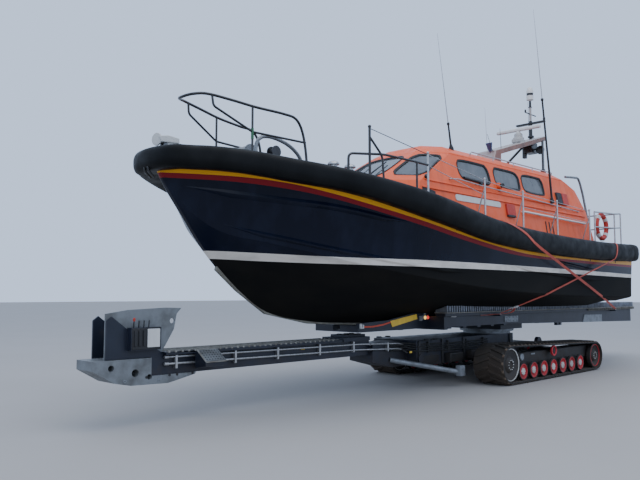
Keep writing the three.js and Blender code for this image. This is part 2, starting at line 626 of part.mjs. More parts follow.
for (const [sideName, side] of [['port', -1], ['starboard', 1]]) {
  const y = side * JET.y;
  node(`${sideName}_jet_nozzle`, join(
    turned([[120, 0], [180, 0], [150, NOZZLE.long], [110, NOZZLE.long], [120, 0]], [NOZZLE.x, y, JET.z], [1, 0, 0],
      20),
    [-1, 1].map((up) => rod([NOZZLE.x + 30, y, JET.z + up * 165], [NOZZLE.x + 30, y, JET.z + up * 222.5], 20, 12)),
  ), COLOUR.steel, 0.4, 0.8);
  const reach = NOZZLE.x + NOZZLE.long - JET.recessX - BUCKET.pinX + 60;
  const plates = [-1, 1].map((arm) => {
    const from = y + arm * BUCKET.armY;
    const to = y + arm * (BUCKET.armY + BUCKET.armThick);
    const px = JET.recessX + BUCKET.pinX;
    const outline = [[px - 40, JET.z - 40], [px + 60, JET.z - 40], [px + reach + 40, JET.z + 230],
      [px + reach, JET.z + 330], [px - 20, JET.z + 330], [px - 40, JET.z + 60]];
    const bore = disc([px, y + arm * (BUCKET.armY + 10), JET.z], [0, 1, 0], 15 + GAP * 2, 60, 12);
    return cut(slab(outline, Math.min(from, to), Math.max(from, to)), bore);
  });
  const px = JET.recessX + BUCKET.pinX;
  const shell = slab([[px - 20, JET.z + 310], [px + reach, JET.z + 310], [px + reach + 30, JET.z + 220],
    [px + reach + 50, JET.z + 235], [px + reach + 10, JET.z + 330], [px - 20, JET.z + 330]],
  y - BUCKET.armY - BUCKET.armThick, y + BUCKET.armY + BUCKET.armThick);
  node(`${sideName}_reversing_bucket`, join(plates, shell), COLOUR.grey, 0.4, 0.7);
}

// Red lashing straps: two flat bands a side, from the deck over the fender and round the chine, that cross.
// Each row gives X at the deck, fender top, fender bottom, chine and cradle lug
const STRAP = { thick: 8, wide: 55, lugY: 1100, lugZ: 1452 };
const STRAP_RUNS = [[-2800, -2350, -590, 2870, 5900], [3420, 3380, 3120, 0, -490]];

function band(points) {
  const rings = points.map(([x, y, z, ny, nz], i) => {
    const [before, after] = [points[Math.max(i - 1, 0)], points[Math.min(i + 1, points.length - 1)]];
    const way = new THREE.Vector3(after[0] - before[0], after[1] - before[1], after[2] - before[2]).normalize();
    const out = new THREE.Vector3(0, ny, nz).normalize();
    const side = way.clone().cross(out).normalize();
    const at = (u, v) => new THREE.Vector3(x, y, z).addScaledVector(side, u).addScaledVector(out, v).toArray();
    const [w, t] = [STRAP.wide / 2, STRAP.thick / 2];
    return [at(-w, -t), at(w, -t), at(w, t), at(-w, t)];
  });
  return loft(rings);
}

const bands = STRAP_RUNS.map(([deckX, topX, bottomX, chineX, lugX]) => {
  const depth = fenderDepth(topX);
  const midX = lerp(topX, bottomX, 0.5);
  return band([
    [deckX, deckY(deckX) - 20, deckZ(deckX) + 83, 0, 1],
    [topX, deckY(topX) + 82, deckZ(topX) + 86, 0.3, 1],
    [lerp(topX, midX, 0.25), deckY(topX) + 178, deckZ(topX) + 46, 0.7, 0.7],
    [lerp(topX, midX, 0.6), deckY(midX) + FENDER_OUT + 16, deckZ(midX) - depth * 0.15, 1, 0.2],
    [midX, deckY(midX) + FENDER_OUT + 16, deckZ(midX) - depth * 0.5, 1, 0],
    [bottomX, deckY(bottomX) + 160, deckZ(bottomX) - depth * 0.92, 1, -0.4],
    [chineX, hullAt(chineX).chineY + 14, hullAt(chineX).chineZ - 8, 1, -0.6],
    [lugX, STRAP.lugY, STRAP.lugZ, 0.3, -1],
  ]);
});
const starboardStraps = cut(onHull(join(bands)), fender);
node('starboard_lashing_straps', starboardStraps, COLOUR.strap, 0.8);
node('port_lashing_straps', mirrored(starboardStraps), COLOUR.strap, 0.8);

// Tracks: front drive centre, aft idler centre and outer radii over the lugs
const TRACK = { inner: 1090, outer: 1800, front: [-1230, 420], aft: [2880, 360], lug: 30, belt: 30 };
const LUG = { count: 48, half: 34, crown: 20, sweep: 120, from: 14, to: 10 };

// A loop round two circles standing on the ground: its circles and the angles where the straight runs leave
function loopShape(shrink) {
  const [c0, c1] = [TRACK.front, TRACK.aft].map((end) => new THREE.Vector2(...end));
  const [r0, r1] = [TRACK.front[1] - shrink, TRACK.aft[1] - shrink];
  const lean = Math.atan2(c1.y - c0.y, c1.x - c0.x);
  const wrap = Math.acos((r0 - r1) / c0.distanceTo(c1));
  return { c0, c1, r0, r1, top: lean + wrap, bottom: lean - wrap };
}

function onCircle(centre, radius, angle) {
  return new THREE.Vector2(centre.x + radius * Math.cos(angle), centre.y + radius * Math.sin(angle));
}

// Outline of the loop as points along its length
function loop(shrink, step) {
  const { c0, c1, r0, r1, top, bottom } = loopShape(shrink);
  const arc = (centre, r, from, to) => {
    const count = Math.max(2, Math.round(Math.abs(to - from) * r / step));
    return Array.from({ length: count + 1 }, (_, i) => onCircle(centre, r, lerp(from, to, i / count)));
  };
  return [...arc(c0, r0, top, bottom + 2 * Math.PI), ...arc(c1, r1, bottom, top)];
}

// The place and outward angle at a distance along the belt's surface, from the top of the front circle
function beltSpot(distance) {
  const { c0, c1, r0, r1, top, bottom } = loopShape(TRACK.lug);
  const runs = [
    [r0 * (bottom + 2 * Math.PI - top), (t) => [c0, r0, lerp(top, bottom + 2 * Math.PI, t)]],
    [onCircle(c0, r0, bottom).distanceTo(onCircle(c1, r1, bottom)),
      (t) => [c0.clone().lerp(c1, t), lerp(r0, r1, t), bottom]],
    [r1 * (top - bottom), (t) => [c1, r1, lerp(bottom, top, t)]],
    [onCircle(c0, r0, top).distanceTo(onCircle(c1, r1, top)),
      (t) => [c1.clone().lerp(c0, t), lerp(r1, r0, t), top]],
  ];
  const whole = runs.reduce((sum, [length]) => sum + length, 0);
  let left = ((distance % whole) + whole) % whole;
  const [length, place] = runs.find(([run]) => {
    if (left <= run) return true;
    left -= run;
    return false;
  });
  const [centre, radius, angle] = place(left / length);
  return { at: onCircle(centre, radius, angle), angle, whole };
}

// Slanted lugs from each edge to the middle of the belt, the two rows half a pitch apart
function treadLugs(side) {
  const { whole } = beltSpot(0);
  const pitch = whole / LUG.count;
  const middle = (TRACK.inner + TRACK.outer) / 2;
  const section = (distance, y) => {
    const { at, angle } = beltSpot(distance);
    const out = new THREE.Vector2(Math.cos(angle), Math.sin(angle));
    const on = new THREE.Vector2(-out.y, out.x);
    return [[-LUG.half, -LUG.to], [LUG.half, -LUG.to], [LUG.crown, TRACK.lug], [-LUG.crown, TRACK.lug]].map(
      ([u, v]) => [at.x + on.x * u + out.x * v, side * y, at.y + on.y * u + out.y * v]);
  };
  const made = [];
  for (let i = 0; i < LUG.count; i += 1) {
    const s = i * pitch;
    const next = s + pitch / 2;
    made.push(loft([section(s, middle - LUG.from), section(s + LUG.sweep, TRACK.inner + 4)]));
    made.push(loft([section(next, middle + LUG.from), section(next + LUG.sweep, TRACK.outer - 4)]));
  }
  return made;
}

function trackBelt(side) {
  const outer = new THREE.Shape(loop(TRACK.lug, 120));
  outer.holes.push(new THREE.Path(loop(TRACK.lug + TRACK.belt, 110)));
  const wide = TRACK.outer - TRACK.inner;
  const geometry = new THREE.ExtrudeGeometry(outer, { depth: wide, bevelEnabled: false });
  geometry.rotateX(Math.PI / 2);
  geometry.translate(0, side > 0 ? TRACK.outer : -TRACK.inner, 0);
  return join(solid(geometry), treadLugs(side));
}

// Road wheels with a dished face, the drive wheel and idler with a rim, and one return roller, on a beam
const WHEELS = { first: -700, pitch: 458, count: 7, r: 185 };
const thick = TRACK.lug + TRACK.belt;
const wheelRows = [];
for (let i = 0; i < WHEELS.count; i += 1) {
  const x = WHEELS.first + i * WHEELS.pitch;
  wheelRows.push({ x, z: thick + GAP + WHEELS.r, r: WHEELS.r, rim: 45, hub: 85, sides: 10 });
}
for (const [x, z] of [TRACK.front, TRACK.aft]) {
  wheelRows.push({ x, z, r: z - thick, rim: 28, hub: 110, sides: 18 });
}
wheelRows.push({ x: 716, z: 598, r: 118, rim: 25, hub: 40, sides: 10 });
const DISH = 45;
const PIVOTS = { x: [-300, 1700], y: 850 };
for (const [sideName, side] of [['port', -1], ['starboard', 1]]) {
  const mid = side * (TRACK.inner + TRACK.outer) / 2;
  const half = (TRACK.outer - TRACK.inner) / 2 - 50;
  const wheels = wheelRows.map(({ x, z, r, rim, hub, sides }) => turned([[0, -half], [r, -half], [r, half],
    [r - rim, half], [r - rim - 10, half - DISH], [hub, half - DISH], [hub - 12, half], [0, half]],
  [x, mid, z], [0, side, 0], sides));
  const room = wheelRows.map(({ x, z, r, sides }) => disc([x, mid, z], [0, 1, 0], r + GAP, 1000, sides));
  node(`${sideName}_track_belt`, cut(trackBelt(side), room), COLOUR.rubber, 0.9);
  const beam = box(TRACK.front[0], TRACK.aft[0], mid - 160, mid + 160, 280, 620);
  const [near, far] = [side * PIVOTS.y, mid].sort((a, b) => a - b);
  const pivots = PIVOTS.x.map((x) => box(x - 110, x + 110, near, far, 360, 600));
  node(`${sideName}_track_frame`, join(wheels, beam, pivots), COLOUR.red, 0.6);
}

// Chassis between the tracks: an arm forward, a deep box under the slewing ring and a low box aft,
// with the steering tube and its bracket ahead of the port track
const CHASSIS = { x0: -3900, mainX: -2850, deepX: 1000, x1: 2450, half: 560, z0: 420, z1: 940, lowZ: 660 };
const TUBE = { from: [-3370, -290, 570], to: [-2150, -1100, 300], r: 50 };
node('chassis_frame', join(
  box(CHASSIS.mainX, CHASSIS.deepX, -CHASSIS.half, CHASSIS.half, CHASSIS.z0, CHASSIS.z1),
  box(CHASSIS.deepX - 10, CHASSIS.x1, -CHASSIS.half, CHASSIS.half, CHASSIS.z0, CHASSIS.lowZ),
  slab([[CHASSIS.x0, 560], [CHASSIS.x0 + 600, CHASSIS.z0], [CHASSIS.mainX + 10, CHASSIS.z0],
    [CHASSIS.mainX + 10, CHASSIS.z1 - 20], [CHASSIS.x0, 880]], -300, 300),
  PIVOTS.x.map((x) => box(x - 150, x + 150, -PIVOTS.y + GAP, PIVOTS.y - GAP, 380, 640)),
  rod(TUBE.from, TUBE.to, TUBE.r, 10),
  box(TUBE.to[0] - 60, TUBE.to[0] + 90, -1180, -1060, 230, 430),
  disc([-2740, -575, 570], [0, 1, 0], 85, 50, 16),
  disc([2370, -500, CHASSIS.lowZ], [0, 1, 0], 120, 90, 16),
), COLOUR.chassis, 0.6, 0.3);
const TURNTABLE = { x: 730, r: 640 };
node('turntable', join(
  disc([TURNTABLE.x, 0, CHASSIS.z1 + GAP + 35], [0, 0, 1], TURNTABLE.r - 80, 70, 32),
  disc([TURNTABLE.x, 0, 1025], [0, 0, 1], TURNTABLE.r, 50, 32),
), COLOUR.galvanised, 0.5, 0.5);

// Cradle: two side beams that deepen aft, cross members, a seat on the slewing ring and the long nose
const BED_X = -2450;
const BED_Z0 = 1050 + GAP * 3;
const BED = { near: 620, far: 960, top: 1420, fore: 1200, aft: 1060, cross: 1168 };
const NOSE = { inner: 500, outer: 560, tipX: -4600 };
const bed = [];
for (const side of [-1, 1]) {
  const [near, far] = [side * BED.near, side * BED.far].sort((a, b) => a - b);
  bed.push(slab([[BED_X, BED.fore], [-60, BED.fore], [CRADLE_AFT_X, BED.aft], [CRADLE_AFT_X, BED.top],
    [BED_X, BED.top]], near, far));
  for (const x of [2560, 2720]) {
    const [blockNear, blockFar] = [side * 880, side * BED.far].sort((a, b) => a - b);
    bed.push(box(x - 45, x + 45, blockNear, blockFar, 1085, 1200));
  }
}
for (const x of [-2250, -1700, -1150, -600, -50, 1500, 2300, 3100, 3900, 4700, 5500, 6300, 7300]) {
  bed.push(box(x - 60, x + 60, -BED.far, BED.far, BED.cross, 1240));
}
bed.push(box(BED_X, CRADLE_AFT_X, -240, 240, 1150, 1200));
bed.push(box(TURNTABLE.x - 500, TURNTABLE.x + 500, -BED.near - 60, BED.near + 60, BED_Z0, 1240));
for (const side of [-1, 1]) {
  for (const [,,,, lugX] of STRAP_RUNS) {
    const [near, far] = [side * 940, side * 1135].sort((a, b) => a - b);
    bed.push(box(lugX - 60, lugX + 60, near, far, 1390, 1418));
  }
}
const noseSide = [[NOSE.tipX, 1165], [-3900, 1165], [-2400, 1180], [-2400, 1510], [-2900, 1490], [-3760, 1365],
  [NOSE.tipX, 1330]];
bed.push(slab(noseSide, -NOSE.outer, -NOSE.inner), slab(noseSide, NOSE.inner, NOSE.outer));
bed.push(box(NOSE.tipX, NOSE.tipX + 120, -NOSE.outer, NOSE.outer, 1165, 1290));
bed.push(box(-3400, -3280, -NOSE.outer, NOSE.outer, 1165, 1250));
bed.push(box(BED_X, BED_X + 120, -BED.far, BED.far, 1150, 1400));
const keelPath = slab([[-6000, 1150], [-4200, 1210], [3000, 1210], [5500, 1290], [7500, 1290], [7500, 2000],
  [-6000, 2000]], -90, 90);
node('cradle_bed', cut(join(bed), keelPath, hullSkin), COLOUR.chassis, 0.6, 0.3);

// Blank yellow marker plate and the lamps on the nose's port side
const noseFace = -NOSE.outer - GAP;
node('nose_marker', slab([[-3620, 1236], [-2820, 1369], [-2850, 1470], [-3680, 1354]], noseFace - 14, noseFace),
  COLOUR.yellow, 0.5);
node('nose_lamps', join(
  box(-2650, BED_X - 8, noseFace - 20, noseFace, 1350, 1440),
  [-2600, -2505].map((x) => disc([x, noseFace - 30, 1395], [0, 1, 0], 42, 40, 14)),
), COLOUR.yellow, 0.3);

// Ribbed rails that the bilges rest on: a web, a flange and a comb of ribs along the outer side
const RIB = { pitch: 255, gap: 110, deep: 30 };
for (const [sideName, side] of [['port', -1], ['starboard', 1]]) {
  const across = (near, far) => [side * near, side * far].sort((a, b) => a - b);
  const comb = [[CRADLE_AFT_X, 770], [-2500, 770]];
  for (let x = -2500; x + RIB.pitch < CRADLE_AFT_X; x += RIB.pitch) {
    comb.push([x, 1060], [x + RIB.pitch - RIB.gap, 1060], [x + RIB.pitch - RIB.gap, 1060 - RIB.deep],
      [x + RIB.pitch, 1060 - RIB.deep]);
  }
  comb.push([CRADLE_AFT_X, 1060 - RIB.deep]);
  const shape = new THREE.Shape(comb.map(([x, y]) => new THREE.Vector2(x, side * y)));
  const ribs = new THREE.ExtrudeGeometry(shape, { depth: 136, bevelEnabled: false });
  ribs.translate(0, 0, 1504);
  const rail = join(solid(ribs), box(-2500, CRADLE_AFT_X, ...across(760, 1075), 1484, 1510),
    box(-2500, CRADLE_AFT_X, ...across(790, 1030), BED.top + GAP, 1490));
  node(`${sideName}_roller_track`, cut(rail, hullSkin, hullPlain), COLOUR.galvanised, 0.6, 0.5);
}

// Drawbar with its walkway, step, top box and raised nose webs
const DRAWBAR = { x0: -8700, x1: -3900, half: 210, z0: 700, z1: 990 };
const stepRing = (x) => [[x, -275, 1028], [x, -300, 1028], [x, -550, 860], [x, -550, 800], [x, -275, 760]];
const noseWeb = [[-9400, 965], [-9400, 1500], [-9320, 1560], [-8870, 1220], [-8500, 1020], [-8500, 965]];
node('drawbar', join(
  box(DRAWBAR.x0, DRAWBAR.x1 - GAP, -DRAWBAR.half, DRAWBAR.half, DRAWBAR.z0, DRAWBAR.z1),
  box(-8500, -4750, -300, 300, DRAWBAR.z1 - 5, DRAWBAR.z1 + 40),
  box(-4700, -3950, -280, 280, DRAWBAR.z1 - 5, 1060),
  box(-4550, -4000, -200, 200, 1050, 1105),
  loft([stepRing(-7980), stepRing(-7590)]),
  slab(noseWeb, -DRAWBAR.half, -DRAWBAR.half + 30),
  slab(noseWeb, DRAWBAR.half - 30, DRAWBAR.half),
  box(-9080, -8600, -320, -DRAWBAR.half + 5, 1080, 1400),
), COLOUR.chassis, 0.5, 0.3);

// Two hydraulic pipes along the drawbar's port side, held by clamps: heights fore, aft and at the end
const PIPE = { y: -246, armY: -345, r: 17 };
const PIPE_RUNS = [[955, 915, 800], [855, 812, 690]];
const pipes = PIPE_RUNS.map(([fore, aft, end]) => rail([[-8490, PIPE.y, fore], [-4160, PIPE.y, aft + 3],
  [-3980, PIPE.armY, aft], [-3100, PIPE.armY, aft - 30], [-2870, PIPE.armY, end]], PIPE.r));
const clamps = [-8300, -7200, -6300, -5300, -4400].map((x) => box(x - 20, x + 20, PIPE.y - 24,
  -DRAWBAR.half - GAP, 780, 980));
clamps.push(box(-3520, -3480, PIPE.armY - 24, -300 - GAP, 750, 925));
node('drawbar_pipes', join(pipes, clamps), COLOUR.steel, 0.4, 0.8);

// Skid under the nose, with the tall plate that stands between the drawbar's webs
const skid = slab([[NOSE_TIP_X, 960], [NOSE_TIP_X, 830], [-9270, 640], [-9020, 590], [-8420, 575], [-7955, 670],
  [-7900, 750], [-8650, 750], [-8650, 960]], -240, 240);
const tallPlate = slab([[-9400, 950], [-9400, 1600], [-9050, 1650], [-8440, 1674], [-8170, 1665], [-8250, 1580],
  [-8295, 1354], [-8444, 1110], [-8500, 1036], [-8720, 1036], [-8720, 950]], -175, -150);
const holeAt = ([x, z, r]) => disc([x, 0, z], [0, 1, 0], r, 600, 12);
node('nose_skid', cut(join(skid, tallPlate), [[-9330, 850, 45], [-8960, 760, 55], [-8730, 690, 40],
  [-8330, 1478, 40]].map(holeAt), box(DRAWBAR.x0 - GAP, DRAWBAR.x1, -301, 301, DRAWBAR.z0 - GAP,
  DRAWBAR.z1 + 40 + GAP)), COLOUR.galvanised, 0.6, 0.5);

export default object;
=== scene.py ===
import json
import math
from collections import namedtuple

import bmesh
import bpy
from mathutils import Matrix, Vector
from mathutils.bvhtree import BVHTree


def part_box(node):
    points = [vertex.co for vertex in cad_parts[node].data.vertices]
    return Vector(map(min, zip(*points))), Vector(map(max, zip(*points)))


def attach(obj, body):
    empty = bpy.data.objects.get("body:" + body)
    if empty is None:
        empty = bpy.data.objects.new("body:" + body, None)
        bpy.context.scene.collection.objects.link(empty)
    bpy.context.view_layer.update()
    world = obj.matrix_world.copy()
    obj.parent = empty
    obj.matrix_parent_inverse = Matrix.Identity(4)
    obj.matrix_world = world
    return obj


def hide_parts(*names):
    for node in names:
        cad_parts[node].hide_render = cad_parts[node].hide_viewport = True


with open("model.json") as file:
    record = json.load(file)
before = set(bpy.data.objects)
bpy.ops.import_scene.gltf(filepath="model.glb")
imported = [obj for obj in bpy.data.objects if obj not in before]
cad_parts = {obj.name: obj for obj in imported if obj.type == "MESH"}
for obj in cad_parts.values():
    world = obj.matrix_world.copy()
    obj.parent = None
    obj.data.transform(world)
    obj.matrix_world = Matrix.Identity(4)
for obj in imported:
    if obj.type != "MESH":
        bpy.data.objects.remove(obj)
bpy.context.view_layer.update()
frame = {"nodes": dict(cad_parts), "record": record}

bl_info = {
    "name": "Lifeboat on its launching carriage",
    "version": (1, 0, 0),
    "blender": (4, 5, 0),
    "location": "View3D > Sidebar > Lifeboat",
    "description": "Finished surfaces of a lifeboat and its tracked carriage, round the packed frame",
    "category": "Add Mesh",
}

NODES = frame["nodes"]

# Hull stations: X, keel height, chine half-beam and height, deck edge half-beam and height
HULL = [
    (-7.46, 3.83, 0.06, 3.87, 0.19, 4.000),
    (-7.30, 3.54, 0.08, 3.59, 0.47, 3.990),
    (-7.00, 3.14, 0.12, 3.22, 0.78, 3.975),
    (-6.55, 2.56, 0.40, 2.85, 1.11, 3.930),
    (-5.90, 1.96, 0.82, 2.68, 1.44, 3.840),
    (-5.27, 1.57, 1.15, 2.54, 1.68, 3.775),
    (-4.25, 1.38, 1.52, 2.34, 1.92, 3.660),
    (-3.10, 1.32, 1.78, 2.17, 2.05, 3.510),
    (-1.20, 1.28, 1.93, 1.99, 2.08, 3.225),
    (1.10, 1.29, 1.96, 1.88, 2.08, 3.100),
    (3.60, 1.31, 1.96, 1.83, 2.07, 3.070),
    (6.00, 1.34, 1.93, 1.82, 2.00, 3.120),
]
Station = namedtuple("Station", "keel chine_y chine_z deck_y deck_z")
BOW_X = HULL[0][0]
STERN_X = HULL[-1][0]
KEEL_HALF = 0.035
CHINE_FLAT = 0.045
FLARE = 1.45
FENDER_OUT = 0.19
FENDER_RISE = 0.075
RAIL_R = 0.019
WELD = 1e-5

# The ways that round pieces face
UP, ALONG, ACROSS, OUT = (0, 0, 1), (1, 0, 0), (0, 1, 0), (0, -1, 0)


def lerp(a, b, t):
    return a + (b - a) * t


def cubic(t, a, b, leave, arrive):
    """A smooth run from a to b that leaves and arrives on given slopes."""
    return ((1 + 2 * t) * (1 - t) ** 2 * a + t * (1 - t) ** 2 * leave
            + t * t * (3 - 2 * t) * b + t * t * (t - 1) * arrive)


def hermite(rows, x, column):
    """A smooth curve through one column of rows whose first column is X."""
    if x <= rows[0][0]:
        return rows[0][column]
    if x >= rows[-1][0]:
        return rows[-1][column]
    i = max(k for k in range(len(rows) - 1) if rows[k][0] <= x)

    def slope(k):
        before, after = rows[max(k - 1, 0)], rows[min(k + 1, len(rows) - 1)]
        return (after[column] - before[column]) / (after[0] - before[0])

    start, end = rows[i], rows[i + 1]
    span = end[0] - start[0]
    return cubic((x - start[0]) / span, start[column], end[column], span * slope(i), span * slope(i + 1))


def hull_at(x):
    """Keel, chine and deck edge of the hull at a station."""
    return Station(*(hermite(HULL, x, column) for column in range(1, 6)))


def deck_z(x):
    return hull_at(x).deck_z


def side_y(x, z):
    """Half-beam of the topside at a height."""
    s = hull_at(x)
    t = min(max((z - s.chine_z) / (s.deck_z - s.chine_z), 0), 1)
    return s.chine_y + (s.deck_y - s.chine_y) * t ** FLARE


def rail_y(x):
    """Half-breadth at which the guard rails stand."""
    return min(hull_at(x).deck_y - 0.11, 1.84)


def flat(points):
    return [Vector(p) for p in points]


def arc(steps, start=0.0, sweep=2 * math.pi):
    """Cosine and sine at even steps of a turn, both ends among them."""
    return [(math.cos(start + sweep * k / steps), math.sin(start + sweep * k / steps))
            for k in range(steps + 1)]


def squared(value, power):
    """A cosine or sine that is driven out towards one, so that a circle turns boxy."""
    return math.copysign(abs(value) ** power, value)


def smooth_path(points, step=0.08):
    """Points along one smooth curve through the given points."""
    points = flat(points)
    last = len(points) - 1
    path = [points[0]]
    for i in range(last):
        a, b = points[i], points[i + 1]
        chord = (b - a).length
        leave = (b - points[max(i - 1, 0)]).normalized() * chord
        arrive = (points[min(i + 2, last)] - a).normalized() * chord
        count = max(2, round(chord / step))
        path += [cubic(k / count, a, b, leave, arrive) for k in range(1, count + 1)]
    return path


def bent_path(points, bend=0.06, steps=4):
    """A row of straight runs whose corners are turned on a small bend."""
    points = flat(points)
    path = [points[0]]
    for before, corner, after in zip(points, points[1:], points[2:]):
        reach = min(bend, (corner - before).length / 2, (after - corner).length / 2)
        start = corner + (before - corner).normalized() * reach
        end = corner + (after - corner).normalized() * reach
        for k in range(steps + 1):
            t = k / steps
            path.append(start.lerp(corner, t).lerp(corner.lerp(end, t), t))
    return path + [points[-1]]


def shift(x, y=0, z=0):
    return Matrix.Translation((x, y, z))


def towards(axis, centre=(0, 0, 0)):
    """A matrix that turns +Z to axis and moves to centre."""
    return Matrix.Translation(centre) @ Vector(axis).to_track_quat("Z", "Y").to_matrix().to_4x4()


def placed(bm, matrix):
    bmesh.ops.transform(bm, matrix=matrix, verts=bm.verts)
    return bm


def set_smooth(bm):
    for face in bm.faces:
        face.smooth = True
    return bm


def outward(bm):
    bmesh.ops.recalc_face_normals(bm, faces=bm.faces)
    return bm


def fresh(made, kind=bmesh.types.BMVert):
    """The vertices, or the edges, that an operator has just made."""
    return [item for item in made["geom"] if isinstance(item, kind)]


def together(parts):
    """Several bmeshes as one."""
    return stamped(parts, [Matrix()])


def stamped(parts, matrices):
    """Bmeshes stamped together at each matrix."""
    whole = bmesh.new()
    for part in parts:
        spare = bpy.data.meshes.new("spare")
        part.to_mesh(spare)
        part.free()
        for matrix in matrices:
            known = len(whole.verts)
            whole.from_mesh(spare)
            whole.verts.ensure_lookup_table()
            bmesh.ops.transform(whole, matrix=matrix, verts=whole.verts[known:])
        bpy.data.meshes.remove(spare)
    return whole


def both_sides(bm):
    """A bmesh and its mirror image across the centreline."""
    mirrored = bm.copy()
    bmesh.ops.scale(mirrored, vec=(1, -1, 1), verts=mirrored.verts)
    bmesh.ops.reverse_faces(mirrored, faces=mirrored.faces)
    return together([bm, mirrored])


def tinted(bm, index, test=None):
    """The faces that pass a test, or all of them, take one of their object's finishes."""
    for face in bm.faces:
        if test is None or test(face):
            face.material_index = index
    return bm


def sideways(face):
    return abs(face.normal.y) > 0.8


def ease(bm, width, segments=2, above=20):
    """Rounds the edges that turn more than an angle, and keeps the big faces flat."""
    edges = [e for e in bm.edges if len(e.link_faces) == 2 and math.degrees(e.calc_face_angle()) > above]
    for face in bm.faces:
        face.smooth = False
    made = bmesh.ops.bevel(bm, geom=edges, offset=width, offset_type="OFFSET", segments=segments, profile=0.5,
                           affect="EDGES", material=-1, clamp_overlap=True)
    for face in made["faces"]:
        face.smooth = True
    return bm


def edges_along(bm, verts, closed):
    """The edges between neighbours in a row, drawn where they are missing."""
    pairs = list(zip(verts, verts[1:])) + ([(verts[-1], verts[0])] if closed else [])
    return [bm.edges.get(pair) or bm.edges.new(pair) for pair in pairs]


def skin(rings, looped=False):
    """The first ring is drawn and every next one is extruded from it and put in its place."""
    bm = bmesh.new()
    row = [bm.verts.new(point) for point in rings[0]]
    edges = first_edges = edges_along(bm, row, True)
    if not looped:
        bm.faces.new(row)
    for ring in rings[1:]:
        made = set(fresh(bmesh.ops.extrude_edge_only(bm, edges=edges)))
        row = [next(e.other_vert(v) for e in v.link_edges if e.other_vert(v) in made) for v in row]
        for vert, point in zip(row, ring):
            vert.co = point
        edges = edges_along(bm, row, True)
    if looped:
        bmesh.ops.bridge_loops(bm, edges=first_edges + edges)
    else:
        bm.faces.new(row)
    return set_smooth(outward(bm))


def path_frames(points, radii, closed=False):
    """A matrix at each point of a path, turned the least from the one before."""
    frames = []
    side = None
    last = len(points) - 1
    for i, (point, r) in enumerate(zip(points, radii)):
        before = points[i - 1] if i or closed else point
        after = points[(i + 1) % (last + 1)] if i < last or closed else point
        way = (after - before).normalized()
        side = side or way.orthogonal().normalized()
        side = (side - way * side.dot(way)).normalized()
        turn = Matrix((side * r, way.cross(side) * r, way)).transposed().to_4x4()
        frames.append(Matrix.Translation(point) @ turn)
    return frames


def pipe(points, radius, sides=12, closed=False, tip=None):
    """A round tube along a path, that may taper to another radius at its tip."""
    points = flat(points)
    last = len(points) - 1
    radii = [lerp(radius, tip or radius, i / last) for i in range(last + 1)]
    frames = path_frames(points, radii, closed)
    bm = bmesh.new()
    bmesh.ops.create_circle(bm, cap_ends=not closed, segments=sides, radius=1, matrix=frames[0])
    edges = first_edges = list(bm.edges)
    for before, after in zip(frames, frames[1:]):
        made = bmesh.ops.extrude_edge_only(bm, edges=edges)
        verts = fresh(made)
        edges = [e for e in fresh(made, bmesh.types.BMEdge) if set(verts).issuperset(e.verts)]
        bmesh.ops.transform(bm, matrix=after @ before.inverted(), verts=verts)
    if closed:
        bmesh.ops.bridge_loops(bm, edges=first_edges + edges)
    else:
        bmesh.ops.edgeloop_fill(bm, edges=edges)
    return set_smooth(outward(bm))


def bent_pipe(points, bend, radius, sides=12):
    return pipe(bent_path(points, bend), radius, sides)


def lathe(profile, matrix=Matrix(), steps=32, closed=False):
    """A profile of radius and height spun round +Z, then moved by a matrix."""
    bm = bmesh.new()
    verts = [bm.verts.new((r, 0, h)) for r, h in profile]
    edges = edges_along(bm, verts, closed)
    bmesh.ops.spin(bm, geom=verts + edges, cent=(0, 0, 0), axis=UP, dvec=(0, 0, 0), angle=2 * math.pi,
                   steps=steps, use_merge=True, use_duplicate=False)
    bmesh.ops.remove_doubles(bm, verts=bm.verts, dist=WELD)
    return set_smooth(placed(outward(bm), matrix))


def drum(centre, axis, radius, width, edge=0.006, steps=32):
    """A short round piece with turned edges, centred on a point."""
    h = width / 2
    e = min(edge, h, radius)
    profile = [(0, -h), (radius - e, -h), (radius, -h + e), (radius, h - e), (radius - e, h), (0, h)]
    return lathe(profile, towards(axis, centre), steps)


def box_matrix(x0, x1, y0, y1, z0, z1):
    """Turns a cube of side 1 into the box between two corners."""
    size = Matrix.Diagonal((abs(x1 - x0), abs(y1 - y0), abs(z1 - z0), 1))
    return shift((x0 + x1) / 2, (y0 + y1) / 2, (z0 + z1) / 2) @ size


def block(x0, x1, y0, y1, z0, z1, edge=0.008, segments=2):
    """A box with rounded edges."""
    bm = bmesh.new()
    bmesh.ops.create_cube(bm, size=1, matrix=box_matrix(x0, x1, y0, y1, z0, z1))
    return ease(bm, edge, segments)


def prism(points, push):
    """A flat outline pushed straight along a way."""
    bm = bmesh.new()
    face = bm.faces.new([bm.verts.new(point) for point in points])
    made = bmesh.ops.extrude_face_region(bm, geom=[face])
    bmesh.ops.translate(bm, vec=push, verts=fresh(made))
    return outward(bm)


def plate(outline, y0, y1, edge=0.006, segments=2):
    """A flat outline in X and Z pushed across from y0 to y1."""
    return ease(prism([(x, y0, z) for x, z in outline], (0, y1 - y0, 0)), edge, segments, above=12)


def slab(x0, x1, z0, z1):
    """The outline of a rectangle in X and Z."""
    return [(x0, z0), (x1, z0), (x1, z1), (x0, z1)]


def eased_copy(node, width=0.01, segments=2, above=20):
    """A CAD node's own solid with its flat faces whole again and its edges rounded."""
    bm = bmesh.new()
    bm.from_mesh(NODES[node].data)
    bmesh.ops.remove_doubles(bm, verts=bm.verts, dist=WELD)
    bmesh.ops.dissolve_limit(
        bm, angle_limit=math.radians(0.6), use_dissolve_boundaries=False, verts=bm.verts, edges=bm.edges)
    return ease(tinted(bm, 0), width, segments, above)


def put_in_scene(name, data):
    obj = bpy.data.objects.new(name, data)
    bpy.context.scene.collection.objects.link(obj)
    return obj


